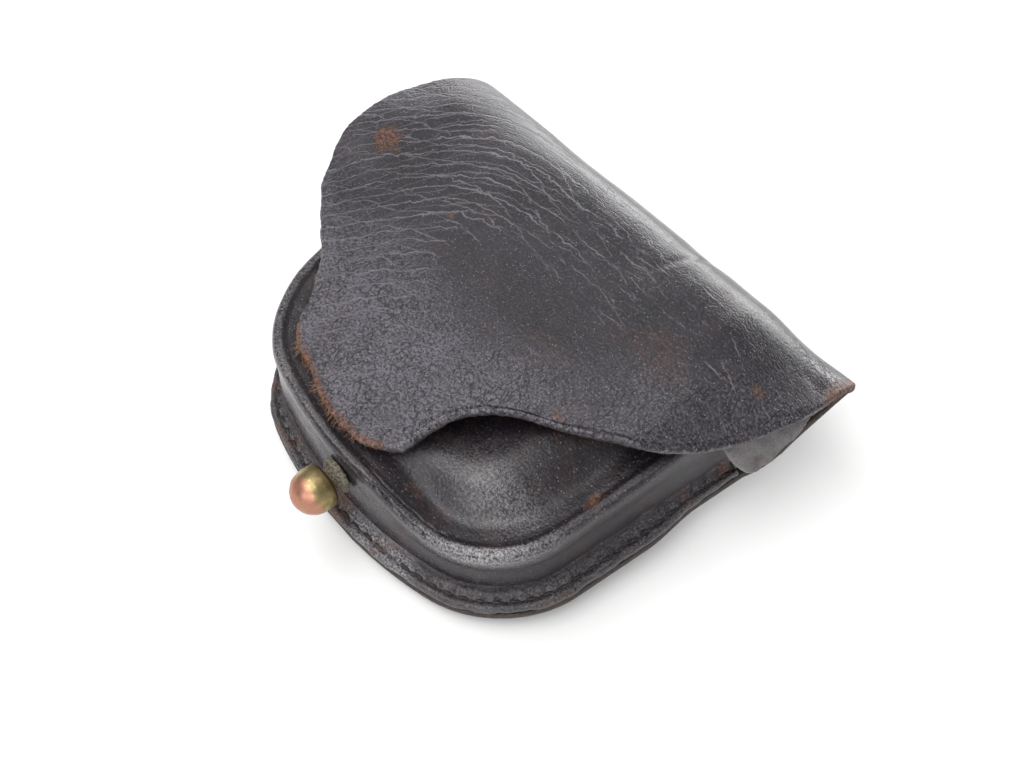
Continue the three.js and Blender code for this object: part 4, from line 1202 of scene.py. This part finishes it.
# ---- Floor, light and camera -------------------------------------------------------------------
scene = bpy.context.scene
FLOOR = 0.42  # half the floor's side
floor_corners = [(-FLOOR, -FLOOR, 0), (FLOOR, -FLOOR, 0), (FLOOR, FLOOR, 0), (-FLOOR, FLOOR, 0)]
mesh = bpy.data.meshes.new("floor")
mesh.from_pydata(floor_corners, [], [(0, 1, 2, 3)])
mesh.materials.append(Shader("floor").finish(rgb(0.93, 0.93, 0.925), 0.85, Specular_IOR_Level=0.1))
floor = bpy.data.objects.new("floor", mesh)
scene.collection.objects.link(floor)

# The studio is white, and gives a weak even light.
scene.world = bpy.data.worlds.new("studio")
scene.world.use_nodes = True
nodes, links = scene.world.node_tree.nodes, scene.world.node_tree.links
nodes["Background"].inputs["Color"].default_value = rgb(1, 1, 1)
seen = nodes.new("ShaderNodeLightPath")
strength = nodes.new("ShaderNodeMapRange")
strength.inputs["To Min"].default_value, strength.inputs["To Max"].default_value = 0.4, 1.0
links.new(seen.outputs["Is Camera Ray"], strength.inputs["Value"])
links.new(strength.outputs["Result"], nodes["Background"].inputs["Strength"])
scene.view_settings.view_transform = "Standard"


def area(name, location, target, size, power):
    light = bpy.data.lights.new(name, "AREA")
    light.shape = "RECTANGLE"
    light.size, light.size_y = size
    light.energy = power
    obj = bpy.data.objects.new(name, light)
    obj.location = location
    obj.rotation_mode = "QUATERNION"
    obj.rotation_quaternion = (Vector(target) - Vector(location)).to_track_quat("-Z", "Y")
    scene.collection.objects.link(obj)


area("overhead", (-0.10, -0.20, 0.6), (0, 0, 0), (0.6, 0.42), 3.3)
area("front", (0.25, -0.46, 0.28), (0, 0, 0.01), (0.5, 0.22), 1.25)
area("low_back", (-0.25, 0.58, 0.11), (0, 0, 0.01), (0.95, 0.17), 4.8)

CAMERA_AT = (0.078861, -0.073317, 0.164642)
azimuth, elevation, roll = math.radians(44.9387), math.radians(54.9526), math.radians(4.4549)
back = Vector((math.sin(azimuth) * math.cos(elevation), -math.cos(azimuth) * math.cos(elevation),
               math.sin(elevation)))
right = Vector((math.cos(azimuth), math.sin(azimuth), 0))
up = back.cross(right)
right, up = math.cos(roll) * right + math.sin(roll) * up, math.cos(roll) * up - math.sin(roll) * right
camera = bpy.data.objects.new("camera", bpy.data.cameras.new("camera"))
camera.data.sensor_width = 36
camera.data.lens = 40.39
camera.data.clip_start = 0.01
rows = [(*row, at) for row, at in zip(zip(right, up, back), CAMERA_AT)]
camera.matrix_world = Matrix(rows + [(0, 0, 0, 1)])
scene.collection.objects.link(camera)
scene.camera = camera
